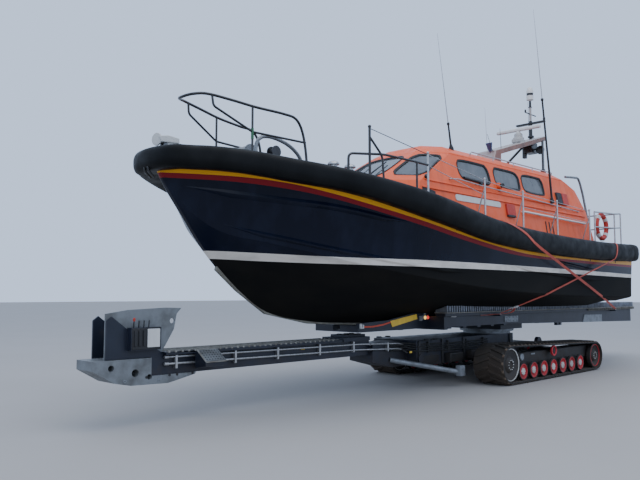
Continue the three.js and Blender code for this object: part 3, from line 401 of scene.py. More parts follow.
def piece(name, shape, finishes, slot, body="root", replaces=(), sharp=38):
    """A bmesh, or a list of them as one, becomes a named piece that rides on a body."""
    bm = together(shape) if isinstance(shape, list) else shape
    for edge in bm.edges:
        if len(edge.link_faces) == 2 and math.degrees(edge.calc_face_angle()) > sharp:
            edge.smooth = False
    mesh = bpy.data.meshes.new(name)
    bm.to_mesh(mesh)
    bm.free()
    for finish in finishes.split():
        mesh.materials.append(FINISHES[finish])
    obj = put_in_scene(name, mesh)
    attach(obj, body)
    if replaces:
        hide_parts(*replaces)
    return obj


def pair(name, shapes, finishes, slot, node="", sharp=38):
    """A piece drawn on one side and mirrored to the other. It may replace the nodes of both sides."""
    replaces = [f"{side}_{node}" for side in ("port", "starboard")] if node else ()
    return piece(name, both_sides(together(shapes)), finishes, slot, replaces=replaces, sharp=sharp)


def dressed(name, node, finish, slot, width=0.01, segments=2, above=20, body="root"):
    """A CAD node's own solid, with its edges eased, takes the node's place."""
    return piece(name, eased_copy(node, width, segments, above), finish, slot, body, [node])


def carve(obj, bm):
    """Cuts a bmesh out of a piece for good."""
    mesh = bpy.data.meshes.new("cutter")
    bm.to_mesh(mesh)
    bm.free()
    tool = put_in_scene("cutter", mesh)
    cut = obj.modifiers.new("cut", "BOOLEAN")
    cut.operation = "DIFFERENCE"
    cut.solver = "EXACT"
    cut.object = tool
    carved = bpy.data.meshes.new_from_object(obj.evaluated_get(bpy.context.evaluated_depsgraph_get()))
    obj.modifiers.remove(cut)
    old = obj.data
    obj.data = carved
    carved.name = obj.name
    bpy.data.meshes.remove(old)
    bpy.data.objects.remove(tool)
    bpy.data.meshes.remove(mesh)


# Every finish by its plain name, filled by make_finishes
FINISHES = {}


class Finish:
    """One material, built node by node towards its principled shader."""

    def __init__(self, name, roughness=0.5, metallic=0.0, **sockets):
        self.material = bpy.data.materials.new(name)
        self.material.use_nodes = True
        self.tree = self.material.node_tree
        self.shader = self.tree.nodes["Principled BSDF"]
        self.shader.inputs["Roughness"].default_value = roughness
        self.shader.inputs["Metallic"].default_value = metallic
        for socket, value in sockets.items():
            self.shader.inputs[socket.replace("_", " ")].default_value = value
        self.coords = self.node("ShaderNodeTexCoord").outputs["Object"]

    def node(self, kind, inputs=None, **settings):
        node = self.tree.nodes.new(kind)
        for key, value in settings.items():
            setattr(node, key, value)
        for key, value in (inputs or {}).items():
            socket = node.inputs[key]
            if isinstance(value, bpy.types.NodeSocket):
                self.tree.links.new(value, socket)
            else:
                socket.default_value = value
        return node

    def noise(self, scale, detail=4, stretch=(1, 1, 1), roughness=0.55):
        mapped = self.node("ShaderNodeMapping", {"Vector": self.coords, "Scale": stretch})
        made = self.node("ShaderNodeTexNoise", {"Vector": mapped.outputs[0], "Scale": scale, "Detail": detail,
                                                "Roughness": roughness})
        return made.outputs["Fac"]

    def range(self, value, low, high, start=0.0, end=1.0):
        made = self.node("ShaderNodeMapRange", {"Value": value, "From Min": low, "From Max": high,
                                                "To Min": start, "To Max": end})
        return made.outputs["Result"]

    def math(self, kind, a, b):
        return self.node("ShaderNodeMath", {0: a, 1: b}, operation=kind).outputs[0]

    def mix(self, share, a, b):
        a, b = (value if isinstance(value, bpy.types.NodeSocket) else rgba(value) for value in (a, b))
        return self.node("ShaderNodeMix", {0: share, 6: a, 7: b}, data_type="RGBA").outputs[2]

    def axis(self, name):
        return self.node("ShaderNodeSeparateXYZ", {0: self.coords}).outputs[name]

    def height_line(self, points, x, low, high, start, span):
        """A height that follows X through a few points."""
        node = self.node("ShaderNodeFloatCurve", {"Value": self.range(x, low, high)})
        curve = node.mapping.curves[0]
        spots = [((px - low) / (high - low), (pz - start) / span) for px, pz in points]
        curve.points[0].location = spots[0]
        curve.points[1].location = spots[-1]
        for spot in spots[1:-1]:
            curve.points.new(*spot)
        node.mapping.update()
        return self.range(node.outputs["Value"], 0, 1, start, start + span)

    def colour(self, socket):
        self.tree.links.new(socket, self.shader.inputs["Base Color"])
        return self

    def rough(self, socket):
        self.tree.links.new(socket, self.shader.inputs["Roughness"])
        return self

    def bump(self, socket, strength=0.2, distance=0.003):
        made = self.node("ShaderNodeBump", {"Height": socket, "Strength": strength, "Distance": distance})
        self.tree.links.new(made.outputs[0], self.shader.inputs["Normal"])
        return self


def rgba(colour):
    return (*colour[:3], 1.0)


def grey(value):
    return (value, value, value)


def toned(colour, share, lift=0.0):
    """A colour made darker or paler."""
    return [min(1.0, c * share + lift) for c in colour]


def worn(name, colour, stain, roughness=0.5, metallic=0.0, patch=2.5, cover=0.35, grain=60.0, bump=0.15,
         streak=(1, 1, 0.25), **sockets):
    """A finish with soft stains, uneven gloss and a fine grain."""
    finish = Finish(name, roughness, metallic, **sockets)
    patches = finish.range(finish.noise(patch, 6, streak), 0.42, 0.72, 0.0, cover)
    finish.colour(finish.mix(patches, colour, stain))
    rougher = min(1.0, roughness * 1.25)
    finish.rough(finish.range(finish.noise(patch * 3, 4), 0.3, 0.7, roughness * 0.8, rougher))
    finish.bump(finish.noise(grain, 3), bump)
    return finish.material


def muddied(name, colour, mud, roughness=0.5, metallic=0.0, top=1.2, base=0.0, amount=1.0, grain=40.0):
    """A finish with sand and mud thrown up from the ground."""
    finish = Finish(name, roughness, metallic)
    height = finish.range(finish.axis("Z"), base, top, 1.0, 0.0)
    splash = finish.noise(5.0, 8, roughness=0.7)
    cover = finish.range(
        finish.math("ADD", finish.math("MULTIPLY", height, 0.55), splash), 0.55, 0.95, 0.0, amount)
    tone = finish.mix(finish.range(finish.noise(1.8, 4), 0.35, 0.7), colour, toned(colour, 1.7, 0.004))
    finish.colour(finish.mix(cover, tone, mud))
    finish.rough(finish.range(cover, 0, 1, roughness, 0.95))
    finish.bump(finish.math("ADD", finish.noise(grain, 5), finish.math("MULTIPLY", cover, 2.0)), 0.25)
    return finish.material


# Heights of the painted lines along the hull, as X and Z
YELLOW_LOW = [(-7.46, 3.715), (-6.82, 3.67), (-6.04, 3.60), (-5.27, 3.48), (-4.37, 3.32), (-3.24, 3.13),
              (-1.77, 2.90), (-0.46, 2.755), (0.33, 2.70), (2.79, 2.66), (6.0, 2.65)]
RED_LOW = [(-7.46, 3.645), (-6.82, 3.60), (-6.04, 3.52), (-5.27, 3.41), (-4.37, 3.25), (-3.24, 3.05),
           (-1.77, 2.82), (-0.46, 2.68), (0.33, 2.64), (2.79, 2.60), (6.0, 2.59)]
BOOT_TOP = [(-7.46, 2.60), (-6.55, 2.56), (-5.86, 2.52), (-4.98, 2.48), (-3.10, 2.47), (0.36, 2.45),
            (6.0, 2.40)]
BOOT_LOW = [(-7.46, 2.46), (-6.55, 2.44), (-5.86, 2.40), (-4.98, 2.37), (-3.10, 2.35), (0.36, 2.345),
            (6.0, 2.31)]


def hull_finish(colours):
    """Navy topsides with a yellow and a red line, a cream boot stripe and a black bottom."""
    finish = Finish("hull_paint", 0.28, Specular_IOR_Level=0.2)
    x, z = finish.axis("X"), finish.axis("Z")

    def above(points):
        line = finish.height_line(points, x, BOW_X, STERN_X, 2.0, 2.0)
        return finish.math("GREATER_THAN", z, line)

    streaks = finish.noise(3.0, 6, (1, 1, 0.3))
    navy = finish.mix(finish.range(streaks, 0.45, 0.75), colours.navy, toned(colours.navy, 1.6, 0.004))
    cream = finish.mix(finish.range(finish.noise(2.0, 6, (1, 1, 3)), 0.4, 0.7, 0, 0.7), colours.cream,
                       toned(colours.cream, 0.62))
    bottom = finish.mix(
        finish.range(finish.noise(1.6, 8, (0.4, 1, 1)), 0.4, 0.75), colours.bottom, [0.009, 0.008, 0.006])
    shade = finish.mix(above(BOOT_LOW), bottom, cream)
    shade = finish.mix(above(BOOT_TOP), shade, navy)
    shade = finish.mix(above(RED_LOW), shade, colours.red)
    shade = finish.mix(above(YELLOW_LOW), shade, colours.yellow)
    finish.colour(shade)
    finish.rough(finish.mix(above(BOOT_LOW), grey(0.8), grey(0.27)))
    finish.bump(finish.noise(1.4, 2), 0.05, 0.02)
    return finish.material


def orange_finish(colours):
    """Faded orange gelcoat: chalky above, dull streaks below fittings."""
    finish = Finish("orange_paint", 0.42, Specular_IOR_Level=0.3)
    fade = finish.range(finish.noise(0.9, 5), 0.35, 0.7, 0, 0.55)
    base = finish.mix(fade, colours.orange, toned(colours.orange, 1.1, 0.03))
    streaks = finish.range(finish.noise(7.0, 6, (1, 1, 0.12)), 0.52, 0.8, 0, 0.45)
    finish.colour(finish.mix(streaks, base, toned(colours.orange, 0.55)))
    finish.rough(finish.range(finish.noise(5.0, 4), 0.3, 0.7, 0.34, 0.55))
    finish.bump(finish.noise(90, 3), 0.06)
    return finish.material


def glass_finish():
    """Grey tinted panes that show a little of the cabin."""
    finish = Finish("tinted_glass", 0.06, Transmission_Weight=0.45, IOR=1.45)
    haze = finish.range(finish.noise(4.0, 5), 0.35, 0.7)
    finish.colour(finish.mix(haze, (0.17, 0.19, 0.21), (0.24, 0.26, 0.28)))
    return finish.material


def deck_finish(colours):
    """Grey non-slip deck with a sharp grit."""
    finish = Finish("deck_grey", 0.85)
    finish.colour(
        finish.mix(finish.range(finish.noise(2.2, 6), 0.35, 0.7), colours.deck, toned(colours.deck, 0.6)))
    finish.bump(finish.noise(320, 2), 0.5, 0.002)
    return finish.material


def webbing_finish():
    """Red polyester webbing with a fine cross weave and grime."""
    finish = Finish("strap_webbing", 0.85, Sheen_Weight=0.2)
    grime = finish.range(finish.noise(4.0, 6), 0.4, 0.75, 0, 0.6)
    finish.colour(finish.mix(grime, (0.62, 0.075, 0.035), (0.2, 0.03, 0.02)))
    weave = finish.node("ShaderNodeTexWave", {"Vector": finish.coords, "Scale": 120.0, "Distortion": 0.4})
    finish.bump(weave.outputs["Fac"], 0.35, 0.001)
    return finish.material


MUD = (0.058, 0.042, 0.03)
EVEN = (1, 1, 1)


def make_finishes(colours):
    """Every finish of the boat and the carriage, by its plain name."""
    FINISHES.update({
        "hull": hull_finish(colours),
        "deck": deck_finish(colours),
        "fender": worn("fender_rubber", (0.003, 0.0035, 0.004), (0.01, 0.011, 0.012), 0.5,
                       patch=1.6, cover=0.7, grain=30, bump=0.12, Specular_IOR_Level=0.15),
        "keel": worn("keel_bar", (0.24, 0.23, 0.19), (0.08, 0.06, 0.04), 0.6, 0.3, patch=6, cover=0.8),
        "orange": orange_finish(colours),
        "glass": glass_finish(),
        "gasket": worn("window_rubber", (0.008, 0.008, 0.009), grey(0.03), 0.6, patch=8),
        "trim": worn("cabin_trim", (0.03, 0.032, 0.036), grey(0.06), 0.7, grain=180, bump=0.3),
        "seat": worn("seat_cover", (0.018, 0.019, 0.022), (0.05, 0.05, 0.055), 0.75,
                     patch=5, grain=400, bump=0.5),
        "black": worn("black_tube", (0.006, 0.006, 0.007), (0.035, 0.035, 0.038), 0.32,
                      patch=9, grain=120, bump=0.08, Coat_Weight=0.3),
        "steel": worn("rail_steel", (0.5, 0.51, 0.52), (0.26, 0.24, 0.22), 0.32, 0.9,
                      patch=14, cover=0.6, streak=EVEN),
        "ring": worn("life_ring_red", (0.5, 0.035, 0.02), (0.25, 0.03, 0.02), 0.55, patch=8),
        "band": worn("ring_band", (0.62, 0.62, 0.6), grey(0.4), 0.5, patch=10),
        "mast": worn("mast_grey", (0.42, 0.41, 0.40), (0.3, 0.19, 0.15), 0.5, patch=3, cover=0.7),
        # Darker, redder grey taken by the mast platform's sideways faces
        "mast_side": worn("mast_darker_red_sides", (0.26, 0.15, 0.12), (0.12, 0.08, 0.07), 0.55,
                          patch=4, cover=0.7),
        "white": worn("white_plastic", (0.72, 0.72, 0.7), (0.5, 0.49, 0.46), 0.35, patch=6),
        "aerial": worn("aerial_black", (0.008, 0.008, 0.009), grey(0.03), 0.35, patch=12),
        "galvanised": worn("galvanised", (0.27, 0.29, 0.31), grey(0.13), 0.5, 0.55,
                           patch=9, cover=0.7, streak=EVEN, grain=70),
        "bright": worn("bright_steel", grey(0.5), (0.2, 0.19, 0.18), 0.35, 0.85, patch=30, cover=0.7),
        "skid": worn("skid_steel", (0.2, 0.215, 0.225), (0.08, 0.078, 0.072), 0.55, 0.3,
                     patch=4, cover=0.9, streak=EVEN, grain=60, bump=0.3),
        "green": worn("green_tape", (0.03, 0.14, 0.06), (0.02, 0.05, 0.03), 0.5, patch=20),
        "jet": worn("jet_metal", (0.3, 0.31, 0.32), (0.14, 0.13, 0.12), 0.45, 0.85,
                    patch=7, grain=90, bump=0.3),
        "pale_rod": worn("pale_aerial", (0.4, 0.42, 0.44), grey(0.3), 0.4, patch=12),
        "strap": webbing_finish(),
        "mud_rubber": muddied("track_rubber", (0.02, 0.018, 0.016), MUD, 0.8, top=1.0, amount=0.95, grain=25),
        "dry_mud": worn("dry_mud", (0.16, 0.115, 0.08), (0.08, 0.055, 0.04), 0.9, patch=12, cover=0.9),
        "beam": muddied("beam_paint", (0.007, 0.007, 0.008), MUD, 0.5, top=0.9, amount=0.6),
        "rubber": worn("plain_rubber", grey(0.013), (0.04, 0.034, 0.028), 0.75, patch=7),
        "wheel": muddied("wheel_red", (0.5, 0.012, 0.025), MUD, 0.4, top=0.9, amount=0.45),
        "hub": muddied("wheel_hub", (0.62, 0.6, 0.56), MUD, 0.45, top=0.9, amount=0.5),
        "navy": muddied("carriage_navy", (0.005, 0.0075, 0.016), MUD, 0.42, top=1.0, amount=0.6),
        "roller": worn("roller_steel", (0.24, 0.26, 0.3), grey(0.1), 0.5, 0.7,
                       patch=9, cover=0.8, streak=EVEN),
        "flange": worn("flange_steel", (0.3, 0.29, 0.26), (0.12, 0.1, 0.08), 0.6, 0.5,
                       patch=8, cover=0.8, streak=EVEN),
        "yellow": worn("marker_yellow", (0.85, 0.55, 0.05), (0.5, 0.32, 0.05), 0.5, patch=20),
        "amber": Finish("lamp_amber", 0.2, Base_Color=(0.95, 0.55, 0.08, 1), Emission_Color=(1, 0.6, 0.12, 1),
                        Emission_Strength=1.4).material,
        "lamp_red": Finish("lamp_red", 0.2, Base_Color=(0.7, 0.03, 0.02, 1),
                           Emission_Color=(1, 0.08, 0.05, 1), Emission_Strength=0.8).material,
        "blue": worn("cone_blue", (0.05, 0.08, 0.2), (0.02, 0.03, 0.06), 0.5, patch=8),
    })


PAINT = {"subtype": "COLOR", "min": 0, "max": 1}


class LifeboatColours(bpy.types.PropertyGroup):
    """Paint colours of the boat."""

    navy: bpy.props.FloatVectorProperty(
        name="Navy", description="Topside paint", default=(0.0025, 0.005, 0.015), **PAINT)
    bottom: bpy.props.FloatVectorProperty(
        name="Bottom", description="Paint under the boot stripe", default=(0.003, 0.003, 0.003), **PAINT)
    cream: bpy.props.FloatVectorProperty(
        name="Boot stripe", description="Stripe over the waterline", default=(0.8, 0.74, 0.66), **PAINT)
    yellow: bpy.props.FloatVectorProperty(
        name="Yellow line", description="Line under the fender", default=(0.78, 0.36, 0.01), **PAINT)
    red: bpy.props.FloatVectorProperty(
        name="Red line", description="Line under the yellow one", default=(0.22, 0.006, 0.012), **PAINT)
    orange: bpy.props.FloatVectorProperty(
        name="Orange", description="Wheelhouse gelcoat", default=(0.82, 0.115, 0.028), **PAINT)
    deck: bpy.props.FloatVectorProperty(
        name="Deck", description="Non-slip deck paint", default=(0.12, 0.125, 0.13), **PAINT)


class LifeboatSizes(bpy.types.PropertyGroup):
    """Sizes that a user would change."""

    fender_fore: bpy.props.FloatProperty(
        name="Fender fore", description="Depth of the fender at the bow", default=0.345, unit="LENGTH")
    fender_aft: bpy.props.FloatProperty(
        name="Fender aft", description="Depth of the fender amidships and aft", default=0.45, unit="LENGTH")
    gasket: bpy.props.FloatProperty(
        name="Gasket", description="Width of the rubber round each window", default=0.05, unit="LENGTH")
    rib_pitch: bpy.props.FloatProperty(
        name="Rib pitch", description="Distance between the cradle's rollers", default=0.085, unit="LENGTH")
    lug_pitch: bpy.props.FloatProperty(
        name="Lug pitch", description="Distance between the track's lugs", default=0.165, unit="LENGTH")


class LifeboatStage(bpy.types.PropertyGroup):
    """Floor, light and camera."""

    floor: bpy.props.FloatVectorProperty(
        name="Floor", description="Floor colour", default=(0.42, 0.395, 0.37), **PAINT)
    sky: bpy.props.FloatVectorProperty(
        name="Sky", description="Soft light from all round", default=(0.6, 0.74, 1.0), **PAINT)
    lens: bpy.props.FloatProperty(name="Lens", description="Focal length in millimetres", default=37.9)


FLOOR_HALF = 150
SKY_STRENGTH = 1.25
CAMERA_PLACE = (-12.818, -8.883, 1.874)
CAMERA_WAY = (0.7047, 0.7049, 0.0799)


class LIFEBOAT_OT_stage(bpy.types.Operator):
    """Camera, pale floor and soft light"""

    bl_idname = "lifeboat.stage"
    bl_label = "Stage"

    def execute(self, context):
        stage = context.scene.lifeboat_stage
        camera = bpy.data.cameras.new("camera")
        camera.lens = stage.lens
        camera.sensor_width = 36
        camera.clip_end = 400
        eye = put_in_scene("camera", camera)
        eye.location = CAMERA_PLACE
        eye.rotation_euler = Vector(CAMERA_WAY).to_track_quat("-Z", "Y").to_euler()
        context.scene.camera = eye

        bm = bmesh.new()
        bmesh.ops.create_grid(bm, x_segments=1, y_segments=1, size=FLOOR_HALF)
        mesh = bpy.data.meshes.new("floor")
        bm.to_mesh(mesh)
        bm.free()
        finish = Finish("floor", 0.85)
        finish.colour(finish.mix(finish.range(finish.noise(0.3, 6), 0.3, 0.7, 0, 0.25), stage.floor,
                                 toned(stage.floor, 0.8)))
        mesh.materials.append(finish.material)
        put_in_scene("floor", mesh)

        world = bpy.data.worlds.new("sky")
        world.use_nodes = True
        back = world.node_tree.nodes["Background"]
        back.inputs["Color"].default_value = rgba(stage.sky)
        back.inputs["Strength"].default_value = SKY_STRENGTH
        context.scene.world = world
        for name, place, aim, size, power in (
                ("overcast", (-4, -6, 22), (0, 0, 2), 22, 2400),
                ("front", (-22, -16, 9), (-2, 0, 3), 12, 300)):
            light = bpy.data.lights.new(name, "AREA")
            light.size = size
            light.energy = power
            lamp = put_in_scene(name, light)
            lamp.location = place
            lamp.rotation_euler = (Vector(aim) - Vector(place)).to_track_quat("-Z", "Y").to_euler()
        return {"FINISHED"}


HULL_STEP = 0.13
SIDE_STEPS = 8
# Ledges moulded along the hull: depth of the ledge, then X and Z of its top edge
HULL_LEDGES = [
    (0.045, [(-7.15, 3.53), (-5.95, 3.385), (-5.03, 3.305), (-3.59, 3.10)]),
    (0.04, [(-6.55, 2.96), (-5.9, 2.83), (-5.2, 2.69), (-4.53, 2.58), (-3.85, 2.485), (-3.0, 2.39),
            (-2.0, 2.27)]),
    (0.035, [(-0.4, 2.46), (0.4, 2.415), (1.3, 2.36), (2.4, 2.30), (4.0, 2.24)]),
    (0.035, [(1.3, 2.64), (2.2, 2.58), (3.0, 2.52), (3.8, 2.46)]),
]
DRAINS = [(-2.40, 3.06), (1.2, 2.71), (3.23, 2.69), (4.81, 2.695)]
JET_RECESS = (5.25, 6.1, -1.5, 1.5, 1.0, 2.26)
# Hatch coamings: fore and aft end, half-breadth and the lid that lies on them
COAMINGS = [("fore_coaming", -5.25, -4.65, 0.3, "foredeck_hatch_lid"),
            ("aft_coaming", 4.86, 5.54, 0.42, "aft_hatch_lid")]


def hull_section(x):
    """Half a section as Y and Z, from the keel round the chine to the deck edge."""
    s = hull_at(x)
    keel_y = min(KEEL_HALF, s.chine_y * 0.4)
    ledge = min(CHINE_FLAT, s.chine_y * 0.3)
    inner = (s.chine_y - ledge, s.chine_z - 0.035)
    bottom = [(lerp(keel_y, inner[0], k / 3), lerp(s.keel, inner[1], k / 3)) for k in range(4)]
    side = []
    for k in range(SIDE_STEPS + 1):
        t = k / SIDE_STEPS
        side.append((lerp(s.chine_y, s.deck_y, t ** FLARE), lerp(s.chine_z, s.deck_z, t)))
    return bottom + side


def hull_ring(x):
    """A whole section with the deck across."""
    half = hull_section(x)
    edge_y, edge_z = half[-1]
    deck = [(edge_y * share, edge_z) for share in (0.5, 0, -0.5)]
    port = [(-y, z) for y, z in reversed(half)]
    return [(x, y, z) for y, z in half + deck + port]


def ledge_strip(depth, line):
    """A narrow ledge laid on the topside, that dies away at both ends."""
    path = smooth_path([(x, 0, z) for x, z in line], 0.12)
    rings = []
    for i, p in enumerate(path):
        end = min(i, len(path) - 1 - i) / 5
        fade = min(1.0, end) * 0.97 + 0.03
        out, drop = depth * fade, depth * 1.1 * fade
        rings.append([(p.x, -side_y(p.x, z) - o, z) for o, z in (
            (-0.03, p.z + 0.004), (0.002, p.z), (out, p.z - drop), (out * 0.9, p.z - drop * 1.5),
            (-0.03, p.z - drop * 2.6))])
    return skin(rings)


class LIFEBOAT_OT_hull(bpy.types.Operator):
    """Decked hull with its ledges, drains, jet recess and keel bar"""

    bl_idname = "lifeboat.hull"
    bl_label = "Hull"

    def execute(self, context):
        count = round((STERN_X - BOW_X) / HULL_STEP)
        bm = skin([hull_ring(lerp(BOW_X, STERN_X, i / count)) for i in range(count + 1)])
        tinted(bm, 1, lambda face: face.normal.z > 0.85 and face.calc_center_median().z > 2.9)
        hull = piece("hull_shell", bm, "hull deck", "hull_paint", replaces=["hull"], sharp=14)
        carve(hull, block(*JET_RECESS, 0.02))
        for i, (depth, line) in enumerate(HULL_LEDGES):
            pair(f"hull_ledge_{i}", [ledge_strip(depth, line)], "hull", "hull_paint", sharp=25)

        # Each drain is a closed dark oval disc with a low lip on the topside: its black is painted shade
        # standing for the dark inside the hole
        lip = [(0, -0.02), (0.022, -0.02), (0.022, 0.004), (0.014, 0.007), (0, 0.001)]
        oval = Matrix.Diagonal((1, 1.5, 1, 1))
        drains = [lathe(lip, towards((0, -1, -0.15), (x, -side_y(x, z), z)) @ oval, 16) for x, z in DRAINS]
        pair("hull_drains_painted_shade", drains, "gasket", "fender_rubber")
        dressed("keel_bar", "stem_and_keel_bar", "keel", "keel_bar", 0.008, above=15)

        for name, x0, x1, half, node in COAMINGS:
            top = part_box(node)[0].z - 0.0003
            low = min(deck_z(x0), deck_z(x1)) - 0.05
            piece(name, block(x0, x1, -half, half, low, top, 0.012), "orange", "orange_paint")
        return {"FINISHED"}


def fender_depth(x):
    sizes = bpy.context.scene.lifeboat_sizes
    share = min(max((x + 5.4) / 2.5, 0), 1)
    return lerp(sizes.fender_fore, sizes.fender_aft, share * share * (3 - 2 * share))


def fender_profile(depth, inset=0.0):
    """Offsets out from the deck edge and down from the fender's top, round a full D."""
    points = [(-0.05, 0.0)]
    for c, s in arc(16, math.pi / 2, -math.pi):
        across, up = squared(c, 0.62), squared(s, 0.8)
        points.append((0.03 + (FENDER_OUT - 0.03 - inset) * across, -depth / 2 + (depth / 2 - inset) * up))
    return points + [(-0.2, -depth * 0.93)]


def fender_ring(x, side, inset=0.0):
    half = hull_at(x).deck_y
    slope = (hull_at(x + 0.04).deck_y - hull_at(x - 0.04).deck_y) / 0.08 if x < STERN_X - 0.05 else -0.03
    out = Vector((-slope, 1)).normalized()
    top = deck_z(x) + FENDER_RISE
    return [(x + out.x * o, side * (half + out.y * o), top + z)
            for o, z in fender_profile(fender_depth(x), inset)]


FENDER_FORE = -7.17
FENDER_STEP = 0.14
BOW_TURN_X = -7.30
BOW_TURN_FORE = 0.17


def bow_ring(angle):
    half = hull_at(BOW_TURN_X).deck_y
    top = deck_z(-7.4) + FENDER_RISE
    out = Vector((-math.cos(angle) * half, math.sin(angle) * BOW_TURN_FORE)).normalized()
    x = BOW_TURN_X - BOW_TURN_FORE * math.cos(angle)
    y = half * math.sin(angle)
    return [(x + out.x * o, y + out.y * o, top + z) for o, z in fender_profile(fender_depth(BOW_X))]


class LIFEBOAT_OT_fender(bpy.types.Operator):
    """One moulded fender round the whole deck edge"""

    bl_idname = "lifeboat.fender"
    bl_label = "Fender"

    def execute(self, context):
        stations = [(STERN_X, 0.06), (STERN_X - 0.012, 0.03), (STERN_X - 0.045, 0.008)]
        x = STERN_X - 0.15
        while x > FENDER_FORE:
            stations.append((x, 0.0))
            x -= FENDER_STEP
        rings = [fender_ring(x, -1, inset) for x, inset in stations]
        rings += [bow_ring(math.radians(a)) for a in range(-78, 79, 12)]
        rings += [fender_ring(x, 1, inset) for x, inset in reversed(stations)]
        piece("fender_skin", skin(rings), "fender", "fender_rubber", replaces=["fender_belt"], sharp=50)
        seam = [pipe(fender_ring(x, -1)[1:-1], 0.006, 6) for x in (5.62, 5.655)]
        pair("fender_end_seam", seam, "gasket", "fender_rubber")
        return {"FINISHED"}


def pane_outline(node):
    """The outer edge of a pane as an ordered row of points, and the pane's outward way."""
    bm = bmesh.new()
    bm.from_mesh(NODES[node].data)
    bmesh.ops.remove_doubles(bm, verts=bm.verts, dist=WELD)
    centre = sum((v.co for v in bm.verts), Vector()) / len(bm.verts)
    if "windscreen" in node:
        way = Vector((-1, 0, 0.6))
    else:
        way = Vector((-0.8 if "corner" in node else 0, centre.y, 0.3))
    way.normalize()
    outer = [f for f in bm.faces if f.normal.dot(way) > 0.55]
    rim = [e for e in bm.edges if sum(f in outer for f in e.link_faces) == 1]
    row = list(rim[0].verts)
    left = rim[1:]
    while left:
        step = next(e for e in left if row[-1] in e.verts)
        left.remove(step)
        row.append(step.other_vert(row[-1]))
    points = [v.co.copy() for v in row[:-1]]
    normal = sum((f.normal * f.calc_area() for f in outer), Vector()).normalized()
    bm.free()
    return points, normal


def rounded_loop(points):
    """A closed row of points with its corners cut twice."""
    for _ in range(2):
        points = [a.lerp(b, t) for a, b in zip(points, points[1:] + points[:1]) for t in (0.25, 0.75)]
    return points


def window_gasket(node, width):
    """A flat rubber ring laid round a pane, over the edge of its opening."""
    points, normal = pane_outline(node)
    loop = rounded_loop(points)
    centre = sum(loop, Vector()) / len(loop)
    rings = []
    for i, p in enumerate(loop):
        way = (loop[(i + 1) % len(loop)] - loop[i - 1]).normalized()
        out = way.cross(normal).normalized()
        if out.dot(p - centre) < 0:
            out = -out
        across = [(-width * 0.55, 0.0), (-width * 0.5, 0.018), (-width * 0.1, 0.03), (width * 0.38, 0.029),
                  (width * 0.45, 0.012), (width * 0.4, 0.0)]
        rings.append([p + out * u + normal * v for u, v in across])
    return skin(rings, looped=True)


class LIFEBOAT_OT_wheelhouse(bpy.types.Operator):
    """Wheelhouse walls, roof and aft bulkhead, their edges rounded"""

    bl_idname = "lifeboat.wheelhouse"
    bl_label = "Wheelhouse"

    def execute(self, context):
        dressed("house_walls", "wheelhouse_shell", "orange", "orange_paint", 0.02, above=8)
        dressed("house_roof", "wheelhouse_roof", "orange", "orange_paint", 0.025, above=8)
        dressed("house_bulkhead", "aft_bulkhead", "orange", "orange_paint", 0.006)
        return {"FINISHED"}


# Wiper: pane, foot and tip of the arm, both ends of the blade, as shares of the pane's width and height
WIPERS = [
    ("windscreen_pane", (0.30, -0.05), (0.24, 0.40), (0.27, 0.12), (0.20, 0.72)),
    ("windscreen_pane", (0.74, -0.05), (0.68, 0.40), (0.71, 0.12), (0.64, 0.72)),
    ("port_corner_pane", (0.55, -0.06), (0.72, 0.36), (0.58, 0.14), (0.86, 0.62)),
    ("starboard_corner_pane", (0.45, -0.06), (0.28, 0.36), (0.42, 0.14), (0.14, 0.62)),
    ("port_mid_pane", (0.62, -0.08), (0.36, 0.05), (0.12, 0.08), (0.60, 0.03)),
    ("starboard_mid_pane", (0.38, -0.08), (0.64, 0.05), (0.88, 0.08), (0.40, 0.03)),
]


def pane_place(node):
    """A function from shares of a pane's width and height, and a lift off it, to a place."""
    points, normal = pane_outline(node)
    side = Vector(UP).cross(normal).normalized()
    up = normal.cross(side)
    centre = sum(points, Vector()) / len(points)
    across = [(p - centre).dot(side) for p in points]
    high = [(p - centre).dot(up) for p in points]

    def at(s, t, lift):
        wide, tall = lerp(min(across), max(across), s), lerp(min(high), max(high), t)
        return centre + side * wide + up * tall + normal * lift

    return at


class LIFEBOAT_OT_windows(bpy.types.Operator):
    """Rubber round each pane, the glass itself and the wipers"""

    bl_idname = "lifeboat.windows"
    bl_label = "Windows"

    def execute(self, context):
        width = context.scene.lifeboat_sizes.gasket
        for node, obj in NODES.items():
            if node.endswith("_pane"):
                obj.data.materials.clear()
                obj.data.materials.append(FINISHES["glass"])
                piece(node.replace("_pane", "_gasket"), window_gasket(node, width), "gasket",
                      "tinted_glass", sharp=50)
        wipers = []
        for node, foot, tip, low, high in WIPERS:
            at = pane_place(node)
            wipers += [drum(at(*foot, 0.02), at(*foot, 1) - at(*foot, 0), 0.045, 0.09, 0.01, 20),
                       pipe([at(*foot, 0.06), at(*tip, 0.05)], 0.011, 8),
                       pipe([at(*low, 0.04), at(*tip, 0.045), at(*high, 0.04)], 0.014, 8)]
        for node, fore, aft in (("port_mid_pane", 0.1, 0.9), ("starboard_mid_pane", 0.9, 0.1)):
            at = pane_place(node)
            wipers.append(pipe([at(fore, 0.04, 0.035), at(0.5, -0.01, 0.04), at(aft, -0.03, 0.03)], 0.03))
        piece("wipers", wipers, "aerial", "tinted_glass")
        return {"FINISHED"}


